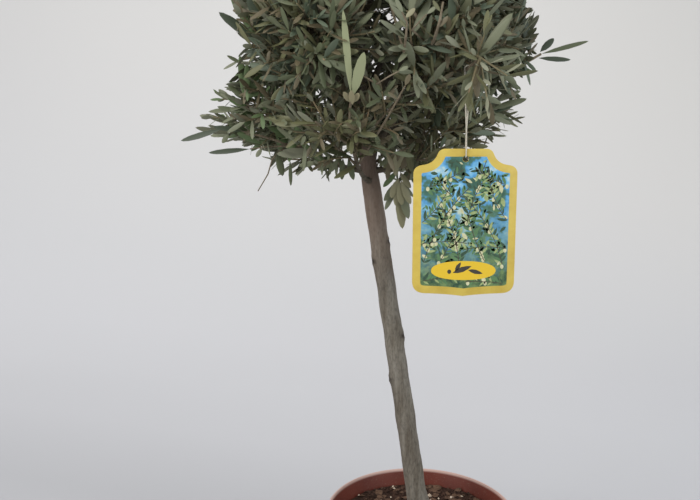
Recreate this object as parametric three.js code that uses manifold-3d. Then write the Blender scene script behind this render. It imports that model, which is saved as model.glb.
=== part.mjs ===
// A young olive grown as a standard: one bare leaning stem under a dense round head, in a
// terracotta-coloured plastic pot filled with soil, with a printed plant label hung from a twig.
// Millimetres, +Z up. The origin is the centre of the pot's flat underside, and the front is -Y.
import * as THREE from "three";
import { mergeVertices } from "three/addons/utils/BufferGeometryUtils.js";
import Module from "manifold-3d";

const wasm = await Module();
wasm.setup();

const point = (x, y, z) => new THREE.Vector3(x, y, z);
const UP = point(0, 0, 1);
const GAP = 0.3; // clearance between pieces that touch

// Pot
const POT_RIM_RADIUS = 99;
const POT_FOOT_RADIUS = 69;
const POT_HEIGHT = 160;
const POT_WALL = 2.4;
const RIM_BAND_HEIGHT = 24;
const RIM_BAND_STEP = 3.6; // how far the band stands out of the wall below it
const RIM_BAND_FLARE = 4; // how much wider the band is at its top than at its foot
const RIM_LIP = 3; // thickness of the band at its top
const POT_SIDES = 36;
const DRAIN_HOLES = 6;
const DRAIN_HOLE_RADIUS = 5;
const DRAIN_RING_RADIUS = 44;
const BAND_Z = POT_HEIGHT - RIM_BAND_HEIGHT;
const WALL_TOP_RADIUS = POT_RIM_RADIUS - RIM_BAND_STEP - RIM_BAND_FLARE;

// Soil
const SOIL_DROP = 16; // below the rim
const SOIL_TOP = POT_HEIGHT - SOIL_DROP;
const SOIL_FLAT_RADIUS = 24; // level patch that the stem stands on
const SOIL_RELIEF = 1.6;

// Trunk
const TRUNK_FOOT = point(1.3, 0, SOIL_TOP + GAP);
const TRUNK_LEAN = -0.152; // sideways run for each millimetre of height
const TRUNK_TOP_Z = 588;
const TRUNK_RADIUS_FOOT = 10.5;
const TRUNK_RADIUS_NECK = 9.2;
const TRUNK_RADIUS_TOP = 6;
const TRUNK_NECK_Z = 505;
const ROOT_FLARE = 5.5;
const ROOT_FLARE_HEIGHT = 11;
const TRUNK_SIDES = 12;
const TRUNK_STEPS = 24;
// Healed knots where side shoots were rubbed off, and the swelling at the foot
const KNOTS = [
  { height: 425, azimuth: 200, swell: 1.6, spread: 5 },
  { height: 303, azimuth: 190, swell: 2.6, spread: 5 },
  { height: 349, azimuth: -20, swell: 2.4, spread: 6 },
  { height: 445, azimuth: -15, swell: 1.8, spread: 5 },
  { height: 238, azimuth: 60, swell: 1.6, spread: 6 },
  { height: 160, azimuth: -25, swell: 4.0, spread: 12 },
];

// Head of foliage
const CROWN_CENTRE = point(-50, 0, 655);
const CROWN_RADII = point(152, 150, 145);
// Where the head's outline stands out of, or falls short of, the plain ellipsoid
const LOBES = [
  { azimuth: 180, elevation: -35, swell: 0.24, spread: 17 },
  { azimuth: 180, elevation: -9, swell: -0.2, spread: 12 },
  { azimuth: 158, elevation: -10, swell: -0.13, spread: 13 },
  { azimuth: 202, elevation: -10, swell: -0.13, spread: 13 },
  { azimuth: 185, elevation: 38, swell: -0.04, spread: 20 },
  { azimuth: 0, elevation: 4, swell: -0.06, spread: 18 },
  { azimuth: 0, elevation: -38, swell: 0.08, spread: 18 },
  { azimuth: 70, elevation: -30, swell: 0.1, spread: 24 },
  { azimuth: -105, elevation: -60, swell: 0.16, spread: 26 },
  { azimuth: 84, elevation: -60, swell: 0.1, spread: 26 },
  { azimuth: -60, elevation: 42, swell: 0.06, spread: 22 },
  { azimuth: 120, elevation: 45, swell: 0.07, spread: 22 },
];
const LEAF_REACH = 1.07; // how far leaf tips may stand beyond that outline
const SITE_DEPTH = 0.64; // where the middle of a mass lies, as a share of the outline's radius
const STEM_REACH = 0.84; // where the main stem of a mass ends
// Tiers of masses, each a ring round the head. forkZ is where its boughs leave the trunk.
const TIERS = [
  { name: "skirt", elevation: -54, forkZ: 505, forkStep: 5, radius: 2.9, rise: 0.05,
    places: { front: -105, right: -12, back: 86, left: 180 } },
  { name: "middle", elevation: -8, forkZ: 528, forkStep: 5.5, radius: 3.3, rise: 0.7,
    places: { front_right: -60, right: 0, back_right: 60, back_left: 120, left: 180, front_left: 240 } },
  { name: "upper", elevation: 35, forkZ: 558, forkStep: 4.5, radius: 3.1, rise: 1.3,
    places: { front: -90, right: -18, back_right: 54, back_left: 126, left: 198 } },
  { name: "top", elevation: 90, forkZ: TRUNK_TOP_Z + GAP, forkStep: 0, radius: 3.6, rise: 6,
    places: { leader: 0 } },
];
const BOUGH_SIDES = 5;
const BOUGH_STEPS = 4;
const BOUGH_TIP_RADIUS = 2.3;

// Twigs and leaves
const SEED = 7;
const STEM_STEPS = 3;
const STEM_TURN = 45; // how far the first pair of twigs is turned from level, in degrees
const STEM_TIP_RADIUS = 1.7;
// Where pairs of twigs leave a mass's stem, as shares of its length, and at what angle
const STEM_NODES = [
  { share: 0.1, angle: 84 },
  { share: 0.42, angle: 68 },
  { share: 0.76, angle: 50 },
];
const TWIG_STEPS = 1;
const TWIG_LENGTH = 72;
const SHORTEST_TWIG = 18;
const TWIG_STRAY = 0.25; // how far its heading strays
const TWIG_BARE_SHARE = 0.25;
const TWIG_RADIUS = 1.5;
const TWIG_TIP_RADIUS = 1.3;
const LEAF_LENGTH = 62;
const LEAF_WIDTH = 15;
const LEAF_THICKNESS = 1.3;
const LEAF_WIDEST = 0.4; // share of its length at which a leaf is widest
const LEAF_DROOP = 0.09; // how far its tip hangs, as a share of its length
const TIP_PAIR_DROP = 4; // how far behind a twig's tip its last pair stands
const LEAFING = { spacing: 19, angle: 48, reach: LEAF_REACH }; // pairs along a twig, how spread
const LEAF_ROOT = 0.45; // how deep a leaf's foot is sunk beyond the middle of its twig
const LEAF_CLEAR = 2.6; // beyond this distance from its foot a leaf crosses no other
const LEAF_TURNS = [0, 30, -30, 60, -60, 85, -85];
const LEAF_TILTS = [0, 14, -14, 28];
const LEAF_SIZES = [1, 0.8, 0.64];

// Long shoots that leave the head, each from a mass to where its last leaf ends
const SHOOTS = [
  { from: "skirt_left", tip: point(-236, 10, 549) },
  { from: "skirt_left", tip: point(-210, -24, 536) },
  { from: "middle_right", tip: point(148, -16, 637) },
  { from: "middle_right", tip: point(131, -42, 618) },
  { from: "upper_left", tip: point(-196, -30, 662) },
  { from: "skirt_left", tip: point(-155, -44, 504) },
  { from: "skirt_right", tip: point(-24, -40, 464) },
  { from: "upper_right", tip: point(107, -20, 762) },
  { from: "upper_back_left", tip: point(-113, 92, 812) },
  { from: "top_leader", tip: point(-41, -12, 842) },
  { from: "middle_back_right", tip: point(55, 160, 690) },
];
const SHOOT_LEAF_SPACING = 22;
const SHOOT_LEAF_ANGLE = 30;

// Plant label on its loop of string
const LABEL_WIDTH = 87;
const LABEL_HEIGHT = 125;
const LABEL_THICKNESS = 0.8;
const LABEL_TOP_Z = 537;
const LABEL_HOLE_RADIUS = 2.5;
const LABEL_HOLE_DROP = 8.5;
const HANG_POINT = point(22.5, -108, 602); // on the twig that carries the loop
const HANG_TWIG_RADIUS = 1.6;
const HANG_TWIG_HALF = 12; // straight stretch of that twig on either side of the loop
const STRING_RADIUS = 0.6;
const STRING_SIDES = 4;
const STRING_STEPS = 40;
const SWING_DEGREES = 20;
const SWING_CLEARANCE = 3.4; // leaves keep this far from the plane that the label swings in

const COLOURS = {
  pot: 0x9a4f3c, soil: 0x33261f, trunk: 0x77736a, bough: 0x6f675a,
  foliage: 0x4a5641, label: 0xe0b52e, string: 0xc9c3b0,
};
const part = new THREE.Group();

const radians = THREE.MathUtils.degToRad;

// A direction from its bearing round +Z, from +X, and its height above the horizon, in degrees.
function heading(azimuth, elevation) {
  const flat = Math.cos(radians(elevation));
  const turn = radians(azimuth);
  return point(flat * Math.cos(turn), flat * Math.sin(turn), Math.sin(radians(elevation)));
}

// The same stream of numbers between 0 and 1 for the same seed.
function seeded(seed) {
  let state = seed | 0;
  return () => {
    state = (state + 0x6d2b79f5) | 0;
    let mixed = Math.imul(state ^ (state >>> 15), 1 | state);
    mixed = (mixed + Math.imul(mixed ^ (mixed >>> 7), 61 | mixed)) ^ mixed;
    return ((mixed ^ (mixed >>> 14)) >>> 0) / 4294967296;
  };
}

// A closed geometry as a solid that can be joined and cut.
function solidOf(geometry) {
  const bare = new THREE.BufferGeometry();
  bare.setAttribute("position", geometry.attributes.position.clone());
  bare.setIndex(geometry.index);
  const merged = mergeVertices(bare, 1e-4);
  const vertProperties = merged.attributes.position.array;
  const triVerts = new Uint32Array(merged.index.array);
  return new wasm.Manifold(new wasm.Mesh({ numProp: 3, vertProperties, triVerts }));
}

// The largest single body of a solid as a geometry: loose scraps and sealed hollows are dropped.
function geometryOf(solid) {
  const bodies = solid.decompose();
  const largest = bodies.reduce((a, b) => (b.volume() > a.volume() ? b : a));
  const mesh = largest.getMesh();
  const geometry = new THREE.BufferGeometry();
  geometry.setAttribute("position", new THREE.Float32BufferAttribute(mesh.vertProperties, 3));
  geometry.setIndex(new THREE.Uint32BufferAttribute(mesh.triVerts, 1));
  geometry.computeVertexNormals();
  return geometry;
}

function addPiece(name, geometry, colour, roughness) {
  const material = new THREE.MeshStandardMaterial({ color: colour, roughness, metalness: 0 });
  const mesh = new THREE.Mesh(geometry, material);
  mesh.name = name;
  part.add(mesh);
}

// A limb along a line of points: a cylinder bent so that each ring is centred on the line,
// square to it or, when level, flat, with the radius that radiusAt gives for its share of the way.
function limb(points, radiusAt, sides, level = false) {
  const steps = points.length - 1;
  const geometry = new THREE.CylinderGeometry(1, 1, 1, sides, steps);
  const frames = points.map((here, i) => {
    const before = points[Math.max(0, i - 1)];
    const after = points[Math.min(steps, i + 1)];
    const along = level ? UP.clone() : after.clone().sub(before).normalize();
    const across = point(0, 1, 0).cross(along);
    if (across.length() < 0.2) across.copy(point(1, 0, 0).cross(along));
    across.normalize();
    return { here, across, beside: across.clone().cross(along) };
  });
  const position = geometry.attributes.position;
  for (let i = 0; i < position.count; i++) {
    const ring = Math.round((position.getY(i) + 0.5) * steps);
    const { here, across, beside } = frames[ring];
    const azimuth = Math.atan2(-position.getZ(i), position.getX(i));
    const radius = radiusAt(ring / steps, azimuth, here.z);
    const place = here.clone();
    place.addScaledVector(across, position.getX(i) * radius);
    place.addScaledVector(beside, position.getZ(i) * radius);
    position.setXYZ(i, place.x, place.y, place.z);
  }
  return geometry;
}

const tapering = (root, tip) => (share) => root + (tip - root) * share;

// Radius of the pot's inner face at a height.
function potInnerRadius(z) {
  const foot = POT_FOOT_RADIUS - POT_WALL;
  const shoulder = WALL_TOP_RADIUS - POT_WALL;
  if (z <= BAND_Z) return THREE.MathUtils.mapLinear(z, 0, BAND_Z, foot, shoulder);
  return THREE.MathUtils.mapLinear(z, BAND_Z, POT_HEIGHT, shoulder, POT_RIM_RADIUS - RIM_LIP);
}

const profileOf = (points) => points.map(([r, z]) => new THREE.Vector2(r, z));

// Pot: one moulded shell with a stepped rim band and drain holes in its floor.
function makePot() {
  const profile = profileOf([
    [0, 0],
    [POT_FOOT_RADIUS - 2, 0],
    [POT_FOOT_RADIUS, 2],
    [WALL_TOP_RADIUS, BAND_Z - 2],
    [WALL_TOP_RADIUS + RIM_BAND_STEP, BAND_Z],
    [POT_RIM_RADIUS, POT_HEIGHT - 2],
    [POT_RIM_RADIUS - 1, POT_HEIGHT],
    [POT_RIM_RADIUS - RIM_LIP + 0.6, POT_HEIGHT],
    [potInnerRadius(POT_HEIGHT - 1.5), POT_HEIGHT - 1.5],
    [potInnerRadius(BAND_Z), BAND_Z],
    [potInnerRadius(POT_WALL), POT_WALL],
    [0, POT_WALL],
  ]);
  let pot = solidOf(new THREE.LatheGeometry(profile, POT_SIDES).rotateX(Math.PI / 2));
  for (let i = 0; i < DRAIN_HOLES; i++) {
    const turn = (i * 2 * Math.PI) / DRAIN_HOLES;
    const hole = new THREE.CylinderGeometry(DRAIN_HOLE_RADIUS, DRAIN_HOLE_RADIUS, 4 * POT_WALL, 12);
    hole.rotateX(Math.PI / 2);
    hole.translate(DRAIN_RING_RADIUS * Math.cos(turn), DRAIN_RING_RADIUS * Math.sin(turn), 0);
    pot = pot.subtract(solidOf(hole));
  }
  addPiece("pot", geometryOf(pot), COLOURS.pot, 0.55);
}

// Soil: fills the pot up to just under its rim, level round the stem and uneven beyond.
function makeSoil() {
  const bottom = POT_WALL + GAP;
  const edge = SOIL_TOP - 1.2;
  const wallAt = (z) => potInnerRadius(z) - GAP;
  const profile = profileOf([
    [0, bottom],
    [wallAt(bottom), bottom],
    [wallAt(BAND_Z), BAND_Z],
    [wallAt(edge), edge],
    [84, SOIL_TOP],
    [65, SOIL_TOP],
    [45, SOIL_TOP],
    [SOIL_FLAT_RADIUS, SOIL_TOP],
    [0, SOIL_TOP],
  ]);
  const soil = new THREE.LatheGeometry(profile, POT_SIDES).rotateX(Math.PI / 2);
  const position = soil.attributes.position;
  for (let i = 0; i < position.count; i++) {
    const x = position.getX(i);
    const y = position.getY(i);
    const uneven = Math.hypot(x, y) > SOIL_FLAT_RADIUS + 1 && position.getZ(i) > SOIL_TOP - 0.1;
    const waves = Math.sin(x / 9 + 1) * Math.cos(y / 11) + 0.6 * Math.sin((x + y) / 6);
    if (uneven) position.setZ(i, SOIL_TOP + (SOIL_RELIEF * waves) / 1.6);
  }
  addPiece("soil", geometryOf(solidOf(soil)), COLOURS.soil, 0.95);
}

function trunkPoint(z) {
  return point(TRUNK_FOOT.x + TRUNK_LEAN * (z - TRUNK_FOOT.z), 0, z);
}

// The trunk's radius at a height and bearing, with its taper, root flare and knots.
function trunkRadius(z, azimuth) {
  const bare = z < TRUNK_NECK_Z
    ? THREE.MathUtils.mapLinear(z, SOIL_TOP, TRUNK_NECK_Z, TRUNK_RADIUS_FOOT, TRUNK_RADIUS_NECK)
    : THREE.MathUtils.mapLinear(z, TRUNK_NECK_Z, TRUNK_TOP_Z, TRUNK_RADIUS_NECK, TRUNK_RADIUS_TOP);
  const buttress = 1 + 0.25 * Math.cos(3 * azimuth + 0.6);
  const flare = ROOT_FLARE * buttress * Math.exp(-(z - SOIL_TOP) / ROOT_FLARE_HEIGHT);
  const knots = KNOTS.reduce((sum, knot) => {
    const rise = (z - knot.height) / knot.spread;
    const round = 1 - Math.cos(azimuth - radians(knot.azimuth));
    return sum + knot.swell * Math.exp(-rise * rise - (round * 2 * TRUNK_RADIUS_FOOT) / knot.spread);
  }, 0);
  return bare + flare + knots;
}

// Heights of the trunk's rings: evenly spaced, and closer at the root flare and at each knot.
function trunkHeights() {
  const knots = KNOTS.flatMap(({ height, spread }) => [-0.8, 0, 0.8].map((rise) => height + rise * spread));
  const flare = [0, 3, 7].map((rise) => TRUNK_FOOT.z + rise);
  const heights = [...flare, ...knots, TRUNK_TOP_Z];
  for (let i = 1; i < TRUNK_STEPS; i++) {
    const even = TRUNK_FOOT.z + ((TRUNK_TOP_Z - TRUNK_FOOT.z) * i) / TRUNK_STEPS;
    if (heights.every((height) => Math.abs(height - even) > 4)) heights.push(even);
  }
  return heights.toSorted((a, b) => a - b);
}

function trunkSolid(extra) {
  const line = trunkHeights().map(trunkPoint);
  const radiusAt = (share, azimuth, z) => trunkRadius(z, azimuth) + extra;
  return solidOf(limb(line, radiusAt, TRUNK_SIDES, true));
}

// How far the head's outline stands from its centre in a direction, as a share of its radii.
function reachOf(direction) {
  return LOBES.reduce((reach, lobe) => {
    const apart = direction.angleTo(heading(lobe.azimuth, lobe.elevation)) / radians(lobe.spread);
    return reach + lobe.swell * Math.exp(-apart * apart);
  }, 1);
}

function onOutline(direction, share) {
  const arm = CROWN_RADII.clone().multiply(direction);
  return arm.multiplyScalar(share * reachOf(direction)).add(CROWN_CENTRE);
}

// How far out a place lies, as a share of the head's outline in its direction.
function shareOfReach(place) {
  const scaled = place.clone().sub(CROWN_CENTRE).divide(CROWN_RADII);
  const out = scaled.length();
  return out < 1e-6 ? 0 : out / reachOf(scaled.divideScalar(out));
}

// Every mass of foliage: its site, and the one curve that its bough and its stem lie on.
function listMasses() {
  const masses = [];
  for (const tier of TIERS) {
    const places = Object.entries(tier.places);
    places.forEach(([place, azimuth], i) => {
      const out = heading(azimuth, tier.elevation);
      const fork = trunkPoint(tier.forkZ + tier.forkStep * ((2 * i) % places.length));
      const end = onOutline(out, STEM_REACH);
      const rising = heading(azimuth, 0).multiplyScalar(tier.elevation < 90 ? 1 : 0);
      rising.addScaledVector(UP, tier.rise).normalize();
      const bend = fork.clone().addScaledVector(rising, 0.5 * end.distanceTo(fork));
      masses.push({
        name: tier.name + "_" + place, index: masses.length, out, tier, fork,
        site: onOutline(out, SITE_DEPTH), curve: new THREE.QuadraticBezierCurve3(fork, bend, end),
      });
    });
  }
  return masses;
}

const MASSES = listMasses();

// True where a place is nearer to this mass's site than to any other, by more than the margin.
function inOwnSpace(place, mass, margin) {
  return MASSES.every((other) => {
    if (other === mass) return true;
    const apart = other.site.distanceTo(mass.site);
    const lead = place.distanceToSquared(other.site) - place.distanceToSquared(mass.site);
    return lead / (2 * apart) > margin;
  });
}

// The share of a mass's curve at which its bough ends and its stem begins.
function entryShare(mass) {
  let share = 0.3;
  while (share < 0.8 && !inOwnSpace(mass.curve.getPoint(share), mass, 7)) share += 0.02;
  return share;
}

function stretchOf(curve, from, to, steps) {
  return Array.from({ length: steps + 1 }, (_, i) => curve.getPoint(from + ((to - from) * i) / steps));
}

function makeTrunkAndBoughs() {
  addPiece("trunk", geometryOf(trunkSolid(0)), COLOURS.trunk, 0.85);
  const cleared = trunkSolid(GAP);
  const limbs = [trunkSolid(0.8)];
  for (const mass of MASSES) {
    mass.entry = entryShare(mass);
    const line = stretchOf(mass.curve, 0, mass.entry, BOUGH_STEPS);
    const root = mass.tier.radius;
    const bough = solidOf(limb(line, tapering(root, BOUGH_TIP_RADIUS), BOUGH_SIDES));
    addPiece("bough_" + mass.name, geometryOf(bough.subtract(cleared)), COLOURS.bough, 0.85);
    limbs.push(solidOf(limb(line, tapering(root + 0.6, BOUGH_TIP_RADIUS + 0.6), BOUGH_SIDES)));
  }
  return wasm.Manifold.union(limbs);
}

// One twig: straight stretches, each turned a little more towards the pull and at random.
function twigLine(root, along, length, pull, random) {
  const line = [root.clone()];
  const way = along.clone().normalize();
  for (let i = 0; i < TWIG_STEPS; i++) {
    const stray = point(random() - 0.5, random() - 0.5, random() - 0.5).multiplyScalar(TWIG_STRAY);
    way.addScaledVector(pull, 1 / TWIG_STEPS).add(stray).normalize();
    line.push(line[i].clone().addScaledVector(way, length / TWIG_STEPS));
  }
  return line;
}

// A side direction of a twig, turned round it by an angle.
function sideways(along, turn) {
  const side = UP.clone().cross(along);
  if (side.length() < 0.2) side.copy(point(1, 0, 0).cross(along));
  return side.normalize().applyAxisAngle(along, turn);
}

// A leaf of six faces: a flat upper side between two edges, with a keel along its midrib below.
function leafShape(root, way, face, size) {
  const length = LEAF_LENGTH * size;
  const profile = profileOf([[0, -LEAF_ROOT], [1, LEAF_WIDEST * length], [0, length]]);
  const leaf = new THREE.LatheGeometry(profile, 3, Math.PI);
  leaf.scale((LEAF_WIDTH * size) / Math.sqrt(3), 1, LEAF_THICKNESS / 1.5);
  const position = leaf.attributes.position;
  for (let i = 0; i < position.count; i++) {
    if (position.getY(i) > 0.9 * length) position.setZ(i, -LEAF_DROOP * length);
  }
  const side = way.clone().cross(face).normalize();
  const normal = side.clone().cross(way);
  return leaf.applyMatrix4(new THREE.Matrix4().makeBasis(side, way, normal).setPosition(root));
}

function cornersOf(geometry) {
  const position = geometry.attributes.position;
  return Array.from({ length: position.count }, (_, i) => point().fromBufferAttribute(position, i));
}

function keep(growth, solid) {
  growth.pieces.push({ solid, box: solid.boundingBox() });
}

// True where a solid crosses nothing that has grown in the mass so far.
function crossesNothing(solid, growth) {
  const { min, max } = solid.boundingBox();
  return growth.pieces.every(({ solid: other, box }) => {
    const apart = min.some((low, i) => low > box.max[i]) || max.some((high, i) => high < box.min[i]);
    return apart || other.intersect(solid).isEmpty();
  });
}

// Adds the leaf if, in one of a few turns and sizes, it stays in the mass's space and clear.
function tryLeaf(growth, twig, root, along, angle, turn) {
  for (const size of LEAF_SIZES) {
    for (const extra of LEAF_TURNS) {
      for (const tilt of LEAF_TILTS) {
        const lean = angle + radians(tilt);
        const way = along.clone().multiplyScalar(Math.cos(lean));
        way.addScaledVector(sideways(along, turn + radians(extra)), Math.sin(lean));
        const leaf = leafShape(root, way, along, size);
        const fits = cornersOf(leaf).every(
          (corner) => inOwnSpace(corner, growth.mass, 0.4) && shareOfReach(corner) < twig.reach,
        );
        if (!fits) continue;
        const solid = solidOf(leaf);
        const blade = solid.translate(way.clone().multiplyScalar(LEAF_CLEAR).toArray());
        if (solid.intersect(clear).isEmpty() && crossesNothing(blade, growth)) {
          keep(growth, solid);
          return;
        }
      }
    }
  }
}

// Pairs of leaves along a twig, each pair a quarter turn on from the last, and one at its tip.
function leafTwig(growth, twig) {
  const lengths = twig.line.slice(1).map((place, i) => place.distanceTo(twig.line[i]));
  const whole = lengths.reduce((a, b) => a + b, 0);
  const pairs = Math.floor((whole * (1 - twig.bareShare)) / twig.spacing);
  const start = seeded(twig.seed)() * Math.PI;
  const placeAt = (distance) => {
    let left = distance;
    let stretch = 0;
    while (stretch < lengths.length - 1 && left > lengths[stretch]) left -= lengths[stretch++];
    const along = twig.line[stretch + 1].clone().sub(twig.line[stretch]).normalize();
    return { along, root: twig.line[stretch].clone().addScaledVector(along, left) };
  };
  const tip = placeAt(whole - 1);
  tryLeaf(growth, twig, tip.root, tip.along, radians(5), start);
  for (let pair = 0; pair <= pairs; pair++) {
    const { root, along } = placeAt(Math.max(2, whole - TIP_PAIR_DROP - pair * twig.spacing));
    const turn = start + (pair * Math.PI) / 2;
    tryLeaf(growth, twig, root, along, radians(twig.angle), turn);
    tryLeaf(growth, twig, root, along, radians(twig.angle), turn + Math.PI);
  }
}

function twigSolid(line, root, tip, sides = 3) {
  return solidOf(limb(line, tapering(root, tip), sides));
}

// The longest of a twig's trial lengths that stays in the mass's space and clear of the rest.
function fitTwig(growth, root, along, pull, seed) {
  for (let length = TWIG_LENGTH; length >= SHORTEST_TWIG; length -= 8) {
    const line = twigLine(root, along, length, pull, seeded(seed));
    const inside = line.slice(1).every(
      (place) => inOwnSpace(place, growth.mass, 4) && shareOfReach(place) < 0.97,
    );
    if (!inside) continue;
    const outer = [line[0].clone().lerp(line[1], 0.3), ...line.slice(1)];
    const solid = twigSolid(outer, TWIG_RADIUS, TWIG_TIP_RADIUS);
    if (solid.intersect(clear).isEmpty() && crossesNothing(solid, growth)) return line;
  }
  return null;
}

// A twig in pairs at each node of the stem, each pair a quarter turn on from the last.
function growTwigs(growth, stem) {
  const { mass } = growth;
  const pull = mass.out.clone().multiplyScalar(0.3).addScaledVector(UP, 0.15);
  STEM_NODES.forEach(({ share, angle }, node) => {
    const at = share * STEM_STEPS;
    const step = Math.floor(at);
    const along = stem[step + 1].clone().sub(stem[step]).normalize();
    const root = stem[step].clone().lerp(stem[step + 1], at - step);
    for (const half of [0, 1]) {
      const side = sideways(along, radians(STEM_TURN) + (node * Math.PI) / 2 + half * Math.PI);
      const way = along.clone().multiplyScalar(Math.cos(radians(angle)));
      way.addScaledVector(side, Math.sin(radians(angle)));
      const seed = SEED + 1000 * mass.index + 20 * node + half;
      const line = fitTwig(growth, root, way, pull, seed);
      if (!line) continue;
      keep(growth, twigSolid(line, TWIG_RADIUS, TWIG_TIP_RADIUS));
      growth.twigs.push({ line, seed: seed + 7, bareShare: TWIG_BARE_SHARE, ...LEAFING });
    }
  });
}

// A shoot from a mass's stem to a tip outside the head, leafy towards its end.
function growShoot(growth, stem, shoot, seed) {
  const start = stem[1].clone().lerp(stem[2], 0.5);
  const end = shoot.tip.clone().lerp(start, LEAF_LENGTH / shoot.tip.distanceTo(start));
  const middle = start.clone().lerp(end, 0.5).addScaledVector(UP, 5);
  const line = [start, middle, end];
  keep(growth, twigSolid(line, TWIG_RADIUS, TWIG_TIP_RADIUS));
  const bearing = { spacing: SHOOT_LEAF_SPACING, bareShare: 0.75, angle: SHOOT_LEAF_ANGLE, reach: 2 };
  growth.twigs.push({ line, seed, ...bearing });
}

// The twig that the label hangs from runs out to the front, straight where the loop sits on it.
function growHangTwig(growth, stem) {
  const along = point(0, HANG_TWIG_HALF, 0);
  const inner = HANG_POINT.clone().add(along);
  const outer = HANG_POINT.clone().sub(along);
  const tip = outer.clone().add(point(5, -14, 6));
  const start = stem[0].clone().lerp(stem[1], 0.5);
  keep(growth, twigSolid([start, inner, outer, tip], HANG_TWIG_RADIUS, HANG_TWIG_RADIUS, 5));
  const line = [outer, tip];
  growth.twigs.push({ line, seed: SEED + 5, ...LEAFING, bareShare: 0.8, reach: 1.2 });
}

function growMass(mass) {
  const growth = { mass, pieces: [], twigs: [] };
  const clearance = GAP / mass.curve.getLength();
  const stem = stretchOf(mass.curve, mass.entry + clearance, 1, STEM_STEPS);
  keep(growth, twigSolid(stem, BOUGH_TIP_RADIUS, STEM_TIP_RADIUS, 4));
  if (mass.name === "middle_front_right") growHangTwig(growth, stem);
  SHOOTS.filter((shoot) => shoot.from === mass.name).forEach((shoot, i) => {
    growShoot(growth, stem, shoot, SEED + 50 * mass.index + i);
  });
  growTwigs(growth, stem);
  growth.twigs.push({ line: stem, seed: SEED + 31 * mass.index, bareShare: 0.6, ...LEAFING });
  for (const twig of growth.twigs) leafTwig(growth, twig);
  return wasm.Manifold.union(growth.pieces.map(({ solid }) => solid));
}

// The label's outline, with its origin at the middle of its top edge.
function labelOutline() {
  const half = LABEL_WIDTH / 2;
  const foot = -LABEL_HEIGHT;
  const outline = new THREE.Shape();
  outline.moveTo(17.5, 0);
  outline.quadraticCurveTo(22, -0.5, 23.5, -4.5);
  outline.quadraticCurveTo(26.5, -12.5, 36, -13.5);
  outline.quadraticCurveTo(half, -14.5, half, -21);
  outline.lineTo(half, foot + 13);
  outline.quadraticCurveTo(half, foot + 3, half - 10, foot + 2.5);
  outline.quadraticCurveTo(14, foot + 2, 0, foot);
  outline.quadraticCurveTo(-14, foot + 2, 10 - half, foot + 2.5);
  outline.quadraticCurveTo(-half, foot + 3, -half, foot + 13);
  outline.lineTo(-half, -21);
  outline.quadraticCurveTo(-half, -14.5, -36, -13.5);
  outline.quadraticCurveTo(-26.5, -12.5, -23.5, -4.5);
  outline.quadraticCurveTo(-22, -0.5, -17.5, 0);
  return outline;
}

// A plate of that outline, hung with its top edge at LABEL_TOP_Z, in the plane of the hang point.
function labelPlate(thickness, withHole, curveSegments) {
  const outline = labelOutline();
  if (withHole) {
    const hole = new THREE.Path().absarc(0, -LABEL_HOLE_DROP, LABEL_HOLE_RADIUS, 0, 2 * Math.PI, false);
    outline.holes.push(hole);
  }
  const settings = { depth: thickness, bevelEnabled: false, curveSegments };
  const plate = new THREE.ExtrudeGeometry(outline, settings).rotateX(Math.PI / 2);
  return plate.translate(HANG_POINT.x, HANG_POINT.y + thickness / 2, LABEL_TOP_Z);
}

// The string's closed line: over the twig, down both sides with a quarter turn, through the hole.
function stringLine() {
  const line = [];
  const overTwig = HANG_TWIG_RADIUS + GAP + STRING_RADIUS;
  const roundPlate = LABEL_THICKNESS / 2 + STRING_RADIUS + 0.5;
  const holeTop = LABEL_TOP_Z - LABEL_HOLE_DROP + LABEL_HOLE_RADIUS;
  const turnZ = holeTop + 0.6;
  for (const turn of [0, 45, 90, 135, 180]) {
    const x = overTwig * Math.cos(radians(turn));
    line.push(HANG_POINT.clone().add(point(x, 0, overTwig * Math.sin(radians(turn)))));
  }
  const strand = [0.12, 0.3, 0.5, 0.7, 0.85];
  const strandPoint = (share, way) => {
    const turn = radians(90 * Math.min(1, share / 0.8));
    const wide = overTwig + (roundPlate - overTwig) * share;
    const z = HANG_POINT.z + (turnZ - HANG_POINT.z) * share;
    const offset = point(-Math.cos(turn), -Math.sin(turn), 0).multiplyScalar(wide * way);
    return point(HANG_POINT.x, HANG_POINT.y, z).add(offset);
  };
  for (const share of strand) line.push(strandPoint(share, 1));
  for (const turn of [0, 45, 90, 135, 180]) {
    const y = -roundPlate * Math.cos(radians(turn));
    line.push(point(HANG_POINT.x, HANG_POINT.y + y, turnZ - roundPlate * Math.sin(radians(turn))));
  }
  for (const share of strand.toReversed()) line.push(strandPoint(share, -1));
  return new THREE.CatmullRomCurve3(line, true, "centripetal");
}

function makeLabel() {
  addPiece("label", geometryOf(solidOf(labelPlate(LABEL_THICKNESS, true, 4))), COLOURS.label, 0.35);
  const line = stringLine();
  // The rings follow the line's own points, which stand closest in its two turns
  line.getPointAt = line.getPoint;
  line.getTangentAt = line.getTangent;
  const string = new THREE.TubeGeometry(line, STRING_STEPS, STRING_RADIUS, STRING_SIDES, true);
  addPiece("label_string", geometryOf(solidOf(string)), COLOURS.string, 0.7);
}

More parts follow.
